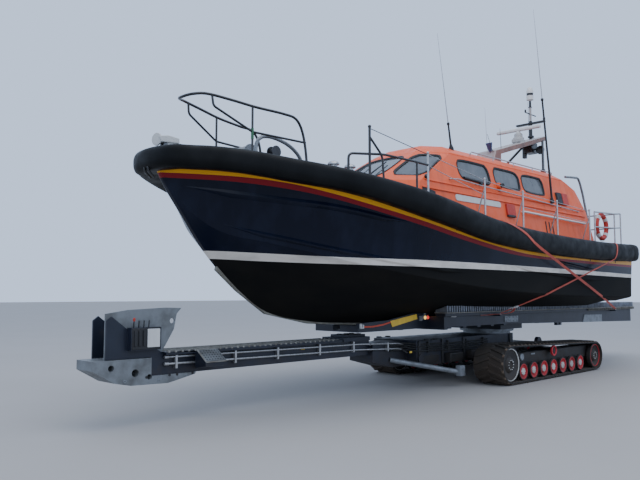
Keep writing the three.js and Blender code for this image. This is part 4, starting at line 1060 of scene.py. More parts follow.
PULPIT = [(-7.01, 0, 4.97), (-6.95, 0.17, 4.99), (-6.77, 0.30, 5.01), (-6.35, 0.41, 4.97),
          (-5.93, 0.50, 4.92), (-5.35, 0.60, 4.885), (-5.10, 0.59, 4.85), (-4.95, 0.585, 4.65),
          (-4.87, 0.60, 4.20), (-4.85, 0.60, 3.68)]
PULPIT_LOWER = [(-6.67, 0.33, 5.0), (-6.65, 0.34, 4.83), (-5.98, 0.49, 4.50), (-4.89, 0.598, 4.475)]
PULPIT_POST = (-5.98, 0.49, 4.922)
BOW_FRAME = [(-4.95, 4.13), (-4.24, 4.19), (-3.38, 4.18), (-3.05, 4.17)]
BOW_FRAME_FEET = (-4.95, -4.24, -3.38)
FRAME_POST = (-4.54, 4.62)
FRAME_END = (-3.05, 4.39)
STANCHIONS = [(-1.16, 4.15), (0.36, 4.06), (1.95, 4.01), (3.70, 3.96)]
STERN_RAIL = [(4.0, 3.94), (5.25, 3.99), (5.66, 4.03)]
WIRE_R = 0.007
WIRE_DROP = 0.33


def deck_foot(x, y, height=0.012, radius=0.05):
    """A small round flange on the deck under a post."""
    return drum((x, y, deck_z(x) + height / 2), UP, radius, height, 0.003, 16)


def at_rail(x, z):
    return (x, -rail_y(x), z)


def upright(x, y, top, radius=RAIL_R):
    """A tube from just under the deck to its top, with a flange at its foot."""
    return [pipe([(x, y, deck_z(x) - 0.01), (x, y, top)], radius), deck_foot(x, y)]


def post(x, z, radius=RAIL_R):
    """An upright with a turned knob that carries the wires."""
    knob = bmesh.new()
    bmesh.ops.create_uvsphere(
        knob, u_segments=12, v_segments=8, radius=radius * 1.35, matrix=Matrix.Translation(at_rail(x, z)))
    return [*upright(x, -rail_y(x), z, radius), set_smooth(knob)]


class LIFEBOAT_OT_rails(bpy.types.Operator):
    """Pulpit, bow frames, guard rails with their wires and the stern rail"""

    bl_idname = "lifeboat.rails"
    bl_label = "Rails"

    def execute(self, context):
        half = [(x, -y, z) for x, y, z in reversed(PULPIT[1:])]
        hoop = pipe(smooth_path(half + PULPIT), 0.023)
        foot_x, foot_y = PULPIT[-1][:2]
        sides = [bent_pipe(PULPIT_LOWER, 0.05, RAIL_R), *upright(*PULPIT_POST), deck_foot(foot_x, foot_y)]
        piece("pulpit_hoop", [hoop, both_sides(together(sides))], "black", "black_tube", replaces=["pulpit"])
        tape_x, tape_y, _ = PULPIT_POST
        tape = [(tape_x, -tape_y, 4.38 + 0.02 * k) for k in range(10)]
        piece("pulpit_tape", pipe(tape, 0.0235), "green", "black_tube")

        end_x, end_z = FRAME_END
        top_x, top_z = FRAME_POST
        fore_x, brace_x, aft_x = BOW_FRAME_FEET
        path = [at_rail(fore_x, deck_z(fore_x))] + [at_rail(x, z) for x, z in BOW_FRAME]
        frame_parts = [bent_pipe(path, 0.09, 0.021), *post(top_x, top_z, 0.022),
                       pipe([at_rail(aft_x, deck_z(aft_x)), at_rail(aft_x, 4.18)], RAIL_R),
                       bent_pipe([at_rail(top_x, top_z - 0.17), at_rail(-4.28, 4.16),
                                  at_rail(brace_x, deck_z(brace_x))], 0.08, RAIL_R),
                       pipe([at_rail(top_x, top_z - 0.03), at_rail(end_x, end_z - 0.03)], WIRE_R, 8)]
        frame_parts += [deck_foot(x, -rail_y(x)) for x in BOW_FRAME_FEET]
        pair("bow_frames", frame_parts, "black", "black_tube", node="bow_frame")

        steel = post(end_x, end_z)
        braces = []
        for x, z in STANCHIONS:
            steel += post(x, z)
            low = deck_z(x)
            y = -rail_y(x)
            leg = [(x, y, z - 0.16), (x, y + 0.05, z - 0.3), (x, y + 0.24, low - 0.01)]
            braces.append(pipe(leg, 0.013, 10))
            braces.append(deck_foot(x, y + 0.24, radius=0.035))
        stops = [FRAME_END, *STANCHIONS]
        wires = [(a, b, 0.03) for a, b in zip(stops, stops[1:])]
        wires += [(a, b, WIRE_DROP) for a, b in zip(STANCHIONS[1:], STANCHIONS[2:])]
        for (ax, az), (bx, bz), drop in wires:
            steel.append(pipe([at_rail(ax, az - drop), at_rail(bx, bz - drop)], WIRE_R, 8))
        first_x, first_z = STANCHIONS[0]
        steel.append(pipe([at_rail(end_x, 4.16), at_rail(first_x, first_z - WIRE_DROP)], WIRE_R, 8))
        pair("guard_rails", steel, "steel", "rail_steel", node="guard_rail")
        pair("stanchion_braces", braces, "steel", "rail_steel")

        rows = []
        corner_x, corner_z = STERN_RAIL[-1]
        for drop in (0, 0.38):
            path = [at_rail(x, z - drop) for x, z in STERN_RAIL]
            rows.append(bent_pipe(path + [(corner_x, 0, corner_z - drop)], 0.05, RAIL_R))
        for x, z in STERN_RAIL:
            rows += upright(x, -rail_y(x), z)
        parts = [both_sides(together(rows)), *upright(corner_x, 0, corner_z)]
        piece("stern_rail_tubes", parts, "steel", "rail_steel", replaces=["stern_rail"])
        return {"FINISHED"}


RING_R = 0.3
RING_TUBE = 0.06


class LIFEBOAT_OT_life_ring(bpy.types.Operator):
    """Red life ring with four pale bands and its grab line"""

    bl_idname = "lifeboat.life_ring"
    bl_label = "Life ring"

    def execute(self, context):
        low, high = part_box("life_ring")
        place = towards(ACROSS, (Vector(low) + Vector(high)) / 2)

        def spots(turns, radii):
            return [place @ Vector((r * c, r * s, 0)) for (c, s), r in zip(turns, radii)]

        tube = [(RING_R + RING_TUBE * c, 0.056 * s) for c, s in arc(20)[:-1]]
        piece("ring_float", lathe(tube, place, 48, closed=True), "ring", "life_ring_red",
              replaces=["life_ring"], sharp=80)
        bands, lines = [], []
        for quarter in range(4):
            middle = math.radians(45 + 90 * quarter)
            bands.append(pipe(spots(arc(8, middle - 0.17, 0.34), [RING_R] * 9), RING_TUBE + 0.0015, 24))
            slack = [RING_R + RING_TUBE + 0.02 * s for _, s in arc(10, 0, math.pi)]
            lines.append(pipe(spots(arc(10, middle, math.pi / 2), slack), 0.006, 8))
        piece("ring_bands", bands, "band", "life_ring_red")
        piece("ring_grab_line", lines, "band", "life_ring_red")
        return {"FINISHED"}


MAST_SIDE = [(1.85, 5.012), (2.25, 5.012), (2.26, 5.395), (4.69, 6.13), (4.69, 6.26), (2.0, 5.455)]
MAST_HALF = 0.27
MAST_STRUT = [(4.57, 0.22, 6.16), (3.54, 0.735, 5.03)]
POLE_X = 4.34
RADAR_X = 3.64
# Radius and height of turned pieces
RADAR_MOTOR = [(0, 5.9), (0.15, 5.9), (0.15, 6.05), (0.135, 6.08), (0.11, 6.09), (0.11, 6.16),
               (0.095, 6.1895), (0, 6.1895)]
FLOOD_LAMP = [(0, -0.05), (0.06, -0.045), (0.1, -0.01), (0.12, 0.04), (0.12, 0.06), (0.105, 0.06),
              (0.1, 0.045), (0, 0.04)]
HORN = [(0, 0), (0.035, 0), (0.05, 0.06), (0.085, 0.22), (0.075, 0.225), (0.03, 0.05), (0, 0.05)]
# Stub aerials: radius at the foot and the rod's course
STUBS = [(0.009, [(1.98, -0.2, 5.42), (1.9, -0.2, 5.5), (1.72, -0.2, 5.82)]),
         (0.008, [(2.3, -0.24, 5.52), (2.26, -0.24, 6.05)]), (0.008, [(4.62, 0.2, 6.22), (4.60, 0.2, 7.3)])]


class LIFEBOAT_OT_mast(bpy.types.Operator):
    """Mast platform with its struts, pole, cross bars, floodlight and the radar's motor"""

    bl_idname = "lifeboat.mast"
    bl_label = "Mast"

    def execute(self, context):
        # The platform's sideways faces take the darker, redder grey; its edge faces keep the mast grey
        platform = tinted(plate(MAST_SIDE, -MAST_HALF, MAST_HALF, 0.02, 3), 1, sideways)
        piece("mast_platform", platform, "mast mast_side", "mast_grey", replaces=["mast_frame"])
        foot_x, foot_y, _ = MAST_STRUT[-1]
        struts = [pipe(MAST_STRUT, 0.034),
                  block(foot_x - 0.06, foot_x + 0.06, foot_y - 0.05, foot_y + 0.05, 5.008, 5.07, 0.01),
                  drum((foot_x, foot_y, 5.075), ACROSS, 0.045, 0.08)]
        pole = [pipe([(POLE_X, 0, 6.1), (POLE_X, 0, 6.66)], 0.045, 16),
                drum((POLE_X, 0, 6.22), UP, 0.085, 0.05),
                block(POLE_X - 0.06, POLE_X + 0.06, -0.42, 0.42, 6.565, 6.615, 0.012),
                pipe([(POLE_X - 0.3, 0, 6.86), (POLE_X + 0.3, 0, 6.86)], 0.016),
                drum((POLE_X, -0.4, 6.65), UP, 0.035, 0.08),
                drum((POLE_X - 0.28, 0, 6.9), UP, 0.025, 0.07)]
        under = [block(4.12, 4.46, -0.13, 0.13, 5.74, 6.03, 0.015),
                 block(4.2, 4.3, 0.1, 0.2, 5.62, 6.03, 0.01),
                 pipe([(POLE_X, -0.1, 5.86), (POLE_X, -0.22, 5.84)], 0.02)]
        piece("mast_fittings", [both_sides(together(struts)), *pole, *under], "black", "mast_grey")
        motor = [lathe(RADAR_MOTOR, shift(RADAR_X)),
                 block(RADAR_X - 0.17, RADAR_X + 0.17, -0.12, 0.12, 5.93, 6.03, 0.02),
                 pipe([(POLE_X, 0, 6.65), (POLE_X, 0, 7.05)], 0.032, 16)]
        piece("radar_motor", motor, "mast", "mast_grey")
        lamp = lathe(FLOOD_LAMP, towards((-0.55, -0.8, -0.25), (POLE_X, -0.24, 5.82)), 28)
        piece("flood_lamp", lamp, "black", "mast_grey")
        stubs = [pipe(course, radius, 8, tip=0.004) for radius, course in STUBS]
        piece("mast_stub_aerials", stubs, "aerial", "aerial_black")
        horn = lathe(HORN, towards((-0.3, 0, 1), (1.98, -0.12, 5.43)), 24)
        piece("mast_horn", horn, "blue", "mast_grey")
        return {"FINISHED"}


class LIFEBOAT_OT_radar(bpy.types.Operator):
    """Radar scanner bar on its hub"""

    bl_idname = "lifeboat.radar"
    bl_label = "Radar"

    def execute(self, context):
        low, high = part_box("radar_scanner")
        foot, neck = low.z, high.z - 0.085
        bar = block(RADAR_X - 0.055, RADAR_X + 0.055, low.y, high.y, high.z - 0.09, high.z, 0.03, 4)
        hub = lathe([(0, foot), (0.06, foot), (0.06, foot + 0.03), (0.045, neck), (0, neck)], shift(RADAR_X))
        piece("scanner_bar", [bar, hub], "white", "white_plastic", "radar", ["radar_scanner"])
        return {"FINISHED"}


# Lantern from its foot up, but for its top: radius and height
LANTERN = [(0, 0), (0.05, 0), (0.05, 0.012), (0.032, 0.03), (0.03, 0.18), (0.06, 0.2), (0.095, 0.21),
           (0.095, 0.33), (0.089, 0.335), (0.089, 0.39), (0.095, 0.395), (0.095, 0.47), (0.085, 0.49),
           (0.08, 0.52), (0.062, 0.56)]


class LIFEBOAT_OT_lantern(bpy.types.Operator):
    """Beacon lantern: white body with a black band under a clear dome, the dome drawn in the body's white"""

    bl_idname = "lifeboat.lantern"
    bl_label = "Lantern"

    def execute(self, context):
        low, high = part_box("beacon_lantern")
        top = high.z - low.z
        body = lathe(LANTERN + [(0.035, top - 0.01), (0, top)], shift(POLE_X, 0, low.z))

        def dark(face):
            height = face.calc_center_median().z - low.z
            return height < 0.19 or 0.332 < height < 0.393

        piece("lantern_body", tinted(body, 1, dark), "white aerial", "white_plastic",
              replaces=["beacon_lantern"])
        return {"FINISHED"}


# Whip aerials: node, foot, tip, foot radius and the share of it that is thick
WHIPS = [
    ("port_long_whip", (2.95, -1.24, 4.15), (2.39, -1.16, 8.92), 0.028, 0.53),
    ("port_fore_whip", (-0.668, -0.74, 4.99), (-1.128, -0.74, 7.44), 0.024, 0.22),
    ("starboard_whip", (3.30, 0.72, 5.0), (3.16, 0.72, 6.95), 0.02, 0.2),
]


class LIFEBOAT_OT_whips(bpy.types.Operator):
    """Whip aerials on their bases"""

    bl_idname = "lifeboat.whips"
    bl_label = "Whips"

    def execute(self, context):
        for node, foot, tip, radius, share in WHIPS:
            foot, tip = Vector(foot), Vector(tip)
            way = (tip - foot).normalized()
            knee = foot.lerp(tip, share)
            base = lathe([(0, -0.05), (0.055, -0.04), (0.055, 0.02), (0.04, 0.06), (radius, 0.11), (0, 0.11)],
                         towards(way, foot), 20)
            thick = pipe([foot, knee], radius, 12, tip=radius * 0.8)
            collar = drum(knee, way, radius * 1.25, 0.06, 0.01, 12)
            thin = tinted(pipe([knee.lerp(tip, k / 8) for k in range(9)], radius * 0.45, 8, tip=0.003), 1)
            piece(node + "_rod", together([base, thick, collar, thin]), "aerial pale_rod",
                  "aerial_black", replaces=[node])
        return {"FINISHED"}


# Track: centre X, centre height and outer radius of the drive end and the idler end
TRACK_ENDS = ((-0.13, 0.42), (3.98, 0.36))
TRACK_Y = (1.09, 1.80)
LUG_HIGH = 0.03
BELT_THICK = 0.03
BELT_STEPS = 110
WHEEL_XS = [0.4 + 0.458 * i for i in range(7)]
WHEEL_Z = 0.2453
WHEEL_R = 0.185
WHEEL_Y = (1.14, 1.75)


def round_spot(centre, radius, angle):
    return centre + radius * Vector((math.cos(angle), math.sin(angle)))


def belt_runs():
    """Length of each run of the belt, and a function to centre, radius and angle at a share of it."""
    (x0, z0), (x1, z1) = TRACK_ENDS
    r0, r1 = z0 - LUG_HIGH, z1 - LUG_HIGH
    c0, c1 = Vector((x0, z0)), Vector((x1, z1))
    lean = math.atan2(z1 - z0, x1 - x0)
    wrap = math.acos((r0 - r1) / math.hypot(x1 - x0, z1 - z0))
    top, bottom = lean + wrap, lean - wrap
    under = bottom + 2 * math.pi
    straight = (round_spot(c0, r0, bottom) - round_spot(c1, r1, bottom)).length
    return [(r0 * (under - top), lambda t: (c0, r0, lerp(top, under, t))),
            (straight, lambda t: (c0.lerp(c1, t), lerp(r0, r1, t), bottom)),
            (r1 * (top - bottom), lambda t: (c1, r1, lerp(bottom, top, t))),
            (straight, lambda t: (c1.lerp(c0, t), lerp(r1, r0, t), top))]


def belt_length():
    return sum(length for length, _ in belt_runs())


def belt_matrix(share, y):
    """X along the belt, Y across it and Z out of it, at a share of its length from its front top."""
    left = (share % 1.0) * belt_length()
    for length, spot in belt_runs():
        if left <= length:
            break
        left -= length
    centre, radius, angle = spot(min(left / length, 1.0))
    at = round_spot(centre, radius, angle)
    out = Vector((math.cos(angle), 0, math.sin(angle)))
    along = Vector((-math.sin(angle), 0, math.cos(angle)))
    turn = Matrix((along, out.cross(along), out)).transposed().to_4x4()
    return shift(at.x, y, at.y) @ turn


def lug(inner):
    """A slanted tread bar from the middle of the belt to one edge, lying on the belt."""
    sweep = 0.12
    reach = 0.322
    rings = []
    for t in (0.0, 0.04, 0.35, 0.65, 0.96, 1.0):
        half = 0.03 if 0.01 < t < 0.99 else 0.022
        high = LUG_HIGH if 0.01 < t < 0.99 else LUG_HIGH * 0.5
        x, y = sweep * t, reach * t * (1 if inner else -1)
        rings.append([(x - half, y, -0.004), (x - half * 0.62, y, high), (x + half * 0.62, y, high),
                      (x + half, y, -0.004)])
    return skin(rings)


def on_belt(bm, share, y0):
    """Bends a flat piece round the belt: X runs along it, Y across it and Z out of it."""
    length = belt_length()
    for vert in bm.verts:
        x, y, z = vert.co
        vert.co = belt_matrix(share + x / length, y0) @ Vector((0, y, z))
    return bm


class LIFEBOAT_OT_belts(bpy.types.Operator):
    """Rubber track belts with slanted lugs and guide bumps"""

    bl_idname = "lifeboat.belts"
    bl_label = "Track belts"

    def execute(self, context):
        near, far = TRACK_Y
        middle = (near + far) / 2
        count = round(belt_length() / context.scene.lifeboat_sizes.lug_pitch)
        section = [(near, -0.008), (near + 0.008, 0), (far - 0.008, 0), (far, -0.008), (far, -BELT_THICK),
                   (near, -BELT_THICK)]
        rings = []
        for k in range(BELT_STEPS):
            place = belt_matrix(k / BELT_STEPS, 0)
            rings.append([place @ Vector((0, -y, z)) for y, z in section])
        rows = [tinted(skin(rings, looped=True), 1, sideways)]
        for inner, y0, start in ((True, middle + 0.014, 0.0), (False, middle - 0.014, 0.5)):
            rows += [on_belt(lug(not inner), (k + start) / count, -y0) for k in range(count)]
        bump = block(-0.028, 0.028, -0.022, 0.022, -0.006, 0.012, 0.006)
        places = [belt_matrix((k + 0.5) / count, 0.03 - far) for k in range(count)]
        rows.append(tinted(stamped([bump], places), 2))
        pair("track_belts", rows, "mud_rubber rubber dry_mud", "track_rubber", node="track_belt")
        return {"FINISHED"}


def road_wheel():
    """A dished wheel about +Z: tyre, red dish with a raised ring, and a pale lobed hub."""
    r = WHEEL_R
    tyre = lathe([(r - 0.022, -0.06), (r - 0.006, -0.06), (r, -0.05), (r, -0.008), (r - 0.006, 0),
                  (r - 0.022, 0)], closed=True)
    dish = lathe([(0, -0.05), (r - 0.0225, -0.055), (r - 0.0225, -0.004), (r - 0.03, -0.002),
                  (r - 0.042, -0.006), (r - 0.05, -0.028), (0.105, -0.034), (0.1, -0.024), (0.088, -0.022),
                  (0.082, -0.034), (0, -0.034)])
    lobes = [drum((0.055 * c, 0.055 * s, -0.016), UP, 0.021, 0.026, 0.005, 12) for c, s in arc(8)[:-1]]
    hub = lathe([(0, -0.036), (0.064, -0.036), (0.064, -0.012), (0.045, -0.006), (0.04, 0), (0.03, 0.002),
                 (0, 0.002)])
    bolts = [drum((0.118 * c, 0.118 * s, -0.028), UP, 0.007, 0.012, 0.002, 8)
             for c, s in arc(8, math.pi / 8)[:-1]]
    return together([tinted(tyre, 1), dish, tinted(together([hub, *lobes]), 2), *bolts])


def wheel_places(x, z):
    """Where the outer and the inner half of a wheel stand, each facing away from the beam."""
    near, far = WHEEL_Y
    turn = Matrix.Rotation(math.pi / 2, 4, "X")
    return [shift(x, -far, z) @ turn, shift(x, -near, z) @ turn @ Matrix.Rotation(math.pi, 4, "X")]


def drive_wheel(z, hub_r, ring_r, tint, place):
    """The bare disc of an end wheel, and apart from it its ring and bolts."""
    r = z - LUG_HIGH - BELT_THICK - 0.0005
    disc = lathe([(0, -0.06), (r, -0.09), (r, -0.006), (r - 0.01, 0), (r - 0.03, 0), (r - 0.045, -0.02),
                  (hub_r + 0.05, -0.05), (hub_r + 0.02, -0.012), (hub_r, -0.004), (hub_r - 0.04, -0.004),
                  (hub_r - 0.05, -0.02), (0, -0.02)], place, 48)
    low, high = ring_r - 0.006, ring_r + 0.006
    ring = lathe([(low, -0.06), (high, -0.06), (high, 0.002), (low, 0.002)], place, 48, closed=True)
    bolt = drum((0, 0, 0.002), UP, 0.009, 0.016, 0.002, 8)
    bolts = stamped([bolt], [place @ shift(hub_r * 0.8 * c, hub_r * 0.8 * s) for c, s in arc(10)[:-1]])
    return disc, [tinted(ring, tint), tinted(bolts, 1)]


# End wheels: place of the end, radius of the ring and of the hub, and the ring's finish
END_WHEELS = [(TRACK_ENDS[0], 0.325, 0.12, 1), (TRACK_ENDS[1], 0.262, 0.1, 0)]
RETURN_ROLLER = (1.816, 0.598)
BEAM_Y = (-1.62, -1.27)


class LIFEBOAT_OT_track_frames(bpy.types.Operator):
    """Road wheels, drive wheels, idlers, return rollers and the beams that carry them"""

    bl_idname = "lifeboat.track_frames"
    bl_label = "Track frames"

    def execute(self, context):
        near, far = WHEEL_Y

        def axle(x, z, radius, short, edge=0.006, steps=32):
            return drum((x, -(near + far) / 2, z), ACROSS, radius, far - near - short, edge, steps)

        wheels = stamped([road_wheel()], [place for x in WHEEL_XS for place in wheel_places(x, WHEEL_Z)])
        pair("road_wheels", [wheels], "wheel rubber hub", "wheel_red", node="track_frame")

        drives, rims, tubes = [], [], []
        for (x, z), ring_r, hub_r, tint in END_WHEELS:
            for place in wheel_places(x, z):
                disc, ring = drive_wheel(z, hub_r, ring_r, tint, place)
                drives.append(disc)
                rims += ring
            tubes.append(axle(x, z, 0.16, 0.12))
        tubes += [axle(x, WHEEL_Z, 0.05, 0.08, 0.006, 16) for x in WHEEL_XS]
        beams = [block(-0.13, 3.98, *BEAM_Y, 0.34, 0.62, 0.02), *tubes]
        beams += [block(x - 0.11, x + 0.11, -1.4, -0.85, 0.36, 0.60, 0.015) for x in (0.8, 2.8)]
        beams += [plate([(x - 0.1, 0.36), (x + 0.1, 0.36), (x + 0.035, 0.2), (x - 0.035, 0.2)], *BEAM_Y)
                  for x in WHEEL_XS]
        pair("track_beams", drives + beams, "beam", "wheel_red")
        pair("drive_rims", rims, "wheel hub", "wheel_red")

        r = 0.118
        returns = []
        for place in wheel_places(*RETURN_ROLLER):
            roller = lathe([(0, -0.05), (r - 0.01, -0.05), (r, -0.04), (r, -0.006), (r - 0.006, 0),
                            (r - 0.026, 0), (r - 0.032, -0.02), (0.045, -0.024), (0.04, -0.01), (0, -0.01)])
            tinted(roller, 1, lambda face: face.calc_center_median().xy.length < r - 0.03)
            returns.append(placed(roller, place))
        returns.append(tinted(axle(*RETURN_ROLLER, 0.04, 0.06), 1))
        pair("return_rollers", returns, "wheel beam", "wheel_red")

        face_y = BEAM_Y[0]
        marks = [drum((0.55, face_y - 0.004, 0.53), ACROSS, 0.075, 0.03),
                 block(0.95, 1.12, face_y - 0.012, face_y + 0.01, 0.555, 0.585, 0.004)]
        pair("beam_marks", marks, "galvanised", "wheel_red")
        return {"FINISHED"}


# Lashing straps: X at the fender's top and bottom, the chine and the cradle's lug
STRAPS = [(-1.25, 0.51, 3.97, 7.0), (4.48, 4.22, 1.10, 0.61)]
STRAP_WIDE = 0.055
STRAP_THICK = 0.006
STRAP_TAIL = [(0.30, -1.06, 1.43), (-0.1, -1.02, 1.425)]
RATCHET_SHARE = 0.32


def strap_line(top_x, bottom_x, chine_x, lug_x):
    """Points of a strap and the way out at each: the deck, the fender's skin, the chine, the lug."""
    line = [(Vector((top_x - 0.2, -hull_at(top_x).deck_y + 0.06, deck_z(top_x) + 0.083)), Vector(UP))]
    for k in range(1, 15):
        x = lerp(top_x, bottom_x, (k - 1) / 13)
        ring = [Vector(p) for p in fender_ring(x, -1)]
        out = (ring[k + 1] - ring[k - 1]).cross(Vector(ALONG)).normalized()
        if out.dot(ring[k] - Vector((x, 0, deck_z(x) - 0.2))) < 0:
            out = -out
        line.append((ring[k] + out * 0.005, out))
    s = hull_at(chine_x)
    line.append((Vector((chine_x, -s.chine_y - 0.012, s.chine_z - 0.006)),
                 Vector((0, -1, -0.6)).normalized()))
    line.append((Vector((lug_x, -1.1, 1.448)), Vector((0, -0.3, -1)).normalized()))
    return line


def strap_band(line, wide=STRAP_WIDE, thick=STRAP_THICK):
    rings = []
    for i, (spot, out) in enumerate(line):
        before, after = line[max(i - 1, 0)][0], line[min(i + 1, len(line) - 1)][0]
        side = (after - before).normalized().cross(out).normalized()
        rings.append([spot + side * u + out * v for u, v in (
            (-wide / 2, -thick / 2), (wide / 2, -thick / 2), (wide / 2, thick / 2), (-wide / 2, thick / 2))])
    return skin(rings)


class LIFEBOAT_OT_straps(bpy.types.Operator):
    """Red lashing straps with their ratchets and end hooks"""

    bl_idname = "lifeboat.straps"
    bl_label = "Lashing straps"

    def execute(self, context):
        bands, steel = [], []
        lines = [strap_line(*row) for row in STRAPS]
        for line in lines:
            bands.append(strap_band(line))
            foot, chine = line[-1][0], line[-2][0]
            way = (chine - foot).normalized()
            steel.append(pipe([foot - way * 0.01, foot + Vector((0, 0, -0.035))], 0.012, 10))
            steel.append(pipe([foot + Vector((-0.03, 0, -0.03)), foot + Vector((0.03, 0, -0.03))], 0.01, 10))
        spot = foot.lerp(chine, RATCHET_SHARE)
        ratchet = [block(-0.034, 0.034, -0.02, 0.02, -0.075, 0.075, 0.006),
                   drum((0, 0, 0.03), ALONG, 0.026, 0.085),
                   block(-0.026, 0.026, 0.012, 0.028, -0.14, 0.02, 0.005)]
        steel += [placed(part, towards(chine - foot, spot)) for part in ratchet]
        tail = smooth_path([spot, spot + Vector((-0.22, -0.01, -0.11)), *STRAP_TAIL])
        bands.append(strap_band([(p, Vector((0.1, -0.3, 1)).normalized()) for p in tail], 0.05))
        pair("lashing_straps", bands, "strap", "strap_webbing", node="lashing_straps", sharp=60)
        pair("strap_ratchets", steel, "bright", "strap_webbing")
        return {"FINISHED"}


RAIL_BAND = (0.77, 1.06)
RIB_FOOT = 1.503
RIB_TOP = 1.64
CRADLE_FORE = -1.4
TURNTABLE_X = 1.83
CHASSIS_FACE = -0.559
# Boxes on the chassis side: both ends in X, outer face, foot and top
CHASSIS_BOXES = [(-0.78, -0.3, -0.72, 0.45, 0.64), (0.05, 0.5, -0.7, 0.47, 0.66), (2.4, 3.3, -0.7, 0.43, 0.6)]
CRADLE_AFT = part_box("cradle_bed")[1].x


def bolt_head(x, y, z, radius, high):
    """A small bolt head on a wall that faces to the side."""
    return drum((x, y, z), ACROSS, radius, high, 0.003, 8)


def bottom_z(x, y):
    """Height of the hull's bottom at a place under it."""
    if x > JET_RECESS[0] - 0.03:
        return RIB_TOP + 1
    s = hull_at(x)
    inner_y = s.chine_y - min(CHINE_FLAT, s.chine_y * 0.3)
    return lerp(s.keel, s.chine_z - 0.035, min(1.0, (y - KEEL_HALF) / (inner_y - KEEL_HALF)))


def rib(x, wide):
    """One roller of the cradle, its top laid to the hull's bottom."""
    near, far = RAIL_BAND
    tops = [(y, max(RIB_FOOT + 0.004, min(RIB_TOP, bottom_z(x, y) - 0.003))) for y in (far, near)]
    outline = [(x - wide / 2, -y, z) for y, z in [(near, RIB_FOOT), (far, RIB_FOOT), *tops]]
    return ease(prism(outline, (wide, 0, 0)), 0.006, 1)


class LIFEBOAT_OT_cradle(bpy.types.Operator):
    """Cradle and chassis beams, slewing ring and ribbed rails under the bilges"""

    bl_idname = "lifeboat.cradle"
    bl_label = "Cradle"

    def execute(self, context):
        pitch = context.scene.lifeboat_sizes.rib_pitch
        dressed("cradle_beams", "cradle_bed", "navy", "carriage_navy", 0.006)
        dressed("chassis_box", "chassis_frame", "navy", "carriage_navy")
        tube = [pipe([(-2.27, -0.29, 0.57), (-1.07, -1.087, 0.304)], 0.0515, 16),
                block(-1.115, -0.955, -1.185, -1.055, 0.225, 0.435, 0.01)]
        tube += [bolt_head(x, -1.19, z, 0.016, 0.02) for x in (-1.08, -0.99) for z in (0.27, 0.39)]
        piece("steering_tube", tube, "galvanised", "carriage_navy")
        hoses = []
        for k in range(4):
            y, z = -0.575 - 0.012 * (k % 2), 0.86 - 0.045 * k
            run = [(-2.3, -0.31, z + 0.02), (-1.9, -0.36, z + 0.03), (-1.72, y, z), (-0.4, y, z - 0.03)]
            hoses.append(bent_pipe(run + [(0.9, y, z - 0.01)], 0.1, 0.016, 10))
        hoses += [block(x, x + 0.04, -0.6, CHASSIS_FACE, 0.68, 0.9, 0.005) for x in (-1.4, -0.7, 0.0, 0.7)]
        pair("chassis_hoses", hoses, "rubber", "carriage_navy")
        frames = [block(x, x + 0.07, -0.59, CHASSIS_FACE, 0.43, 0.93, 0.008) for x in (-1.7, -0.9, -0.1, 1.9)]
        frames.append(plate(slab(-1.55, -1.0, 0.46, 0.62), -0.575, CHASSIS_FACE))
        frames += [block(x0, x1, y, CHASSIS_FACE, z0, z1, 0.02) for x0, x1, y, z0, z1 in CHASSIS_BOXES]
        frames += [drum((x, -0.63, 0.944), UP, 0.06, 0.03) for x in (-1.5, -1.2)]
        pair("chassis_frames", frames, "beam", "carriage_navy")
        ring = lathe([(0, 0.941), (0.56, 0.941), (0.56, 1.0), (0.64, 1.0), (0.64, 1.05), (0, 1.05)],
                     shift(TURNTABLE_X), 64)
        stud = drum((0.6, 0, 1.0), UP, 0.014, 0.02, 0.003, 8)
        turns = [shift(TURNTABLE_X) @ Matrix.Rotation(math.pi / 18 * k, 4, "Z") for k in range(36)]
        piece("slewing_ring", [ring, stamped([stud], turns)], "galvanised", "galvanised",
              replaces=["turntable"])

        count = int((CRADLE_AFT - CRADLE_FORE) / pitch)
        ribs = [rib(CRADLE_FORE + pitch * (k + 0.5), pitch * 0.52) for k in range(count)]
        pair("bilge_rollers", ribs, "roller", "galvanised", node="roller_track")
        web = block(CRADLE_FORE, CRADLE_AFT, -1.03, -0.79, 1.4203, 1.485, 0.004)
        pair("roller_webs", [web], "navy", "galvanised")
        ends = [lerp(CRADLE_FORE, CRADLE_AFT, k / 9) for k in range(10)]
        flanges = [block(a, b - 0.006, -1.078, -0.76, 1.484, 1.502, 0.003) for a, b in zip(ends, ends[1:])]
        slats = [block(x, x + 0.03, -1.082, -1.03, 1.425, 1.486, 0.003) for x in
                 (lerp(5.3, CRADLE_AFT - 0.05, k / 24) for k in range(25))]
        pair("roller_flanges", flanges + slats, "flange", "galvanised")

        bolted = [block(1.02, 1.62, -0.975, -0.955, 1.235, 1.375, 0.004)]
        bolted += [bolt_head(x, -0.98, z, 0.014, 0.016) for x in (1.08, 1.24, 1.40, 1.56)
                   for z in (1.265, 1.345)]
        bolted += [plate([(5.1, 1.12), (6.35, 1.1), (6.35, 1.3), (5.2, 1.32)], -0.972, -0.955, 0.003)]
        pair("cradle_plates", bolted, "galvanised", "carriage_navy")
        return {"FINISHED"}


NOSE_FACE = -0.5603
LAMP_XS = (-1.50, -1.405)
LAMP_Z = 1.395
# The three bars of the open clip: both ends in X, foot and top
NOSE_CLIP = [(-3.47, -3.44, 1.24, 1.33), (-3.47, -3.38, 1.235, 1.255), (-3.41, -3.38, 1.24, 1.31)]
NOSE_TIE = [(-3.39, 1.265), (-3.1, 1.262), (-2.8, 1.29), (-2.55, 1.335)]


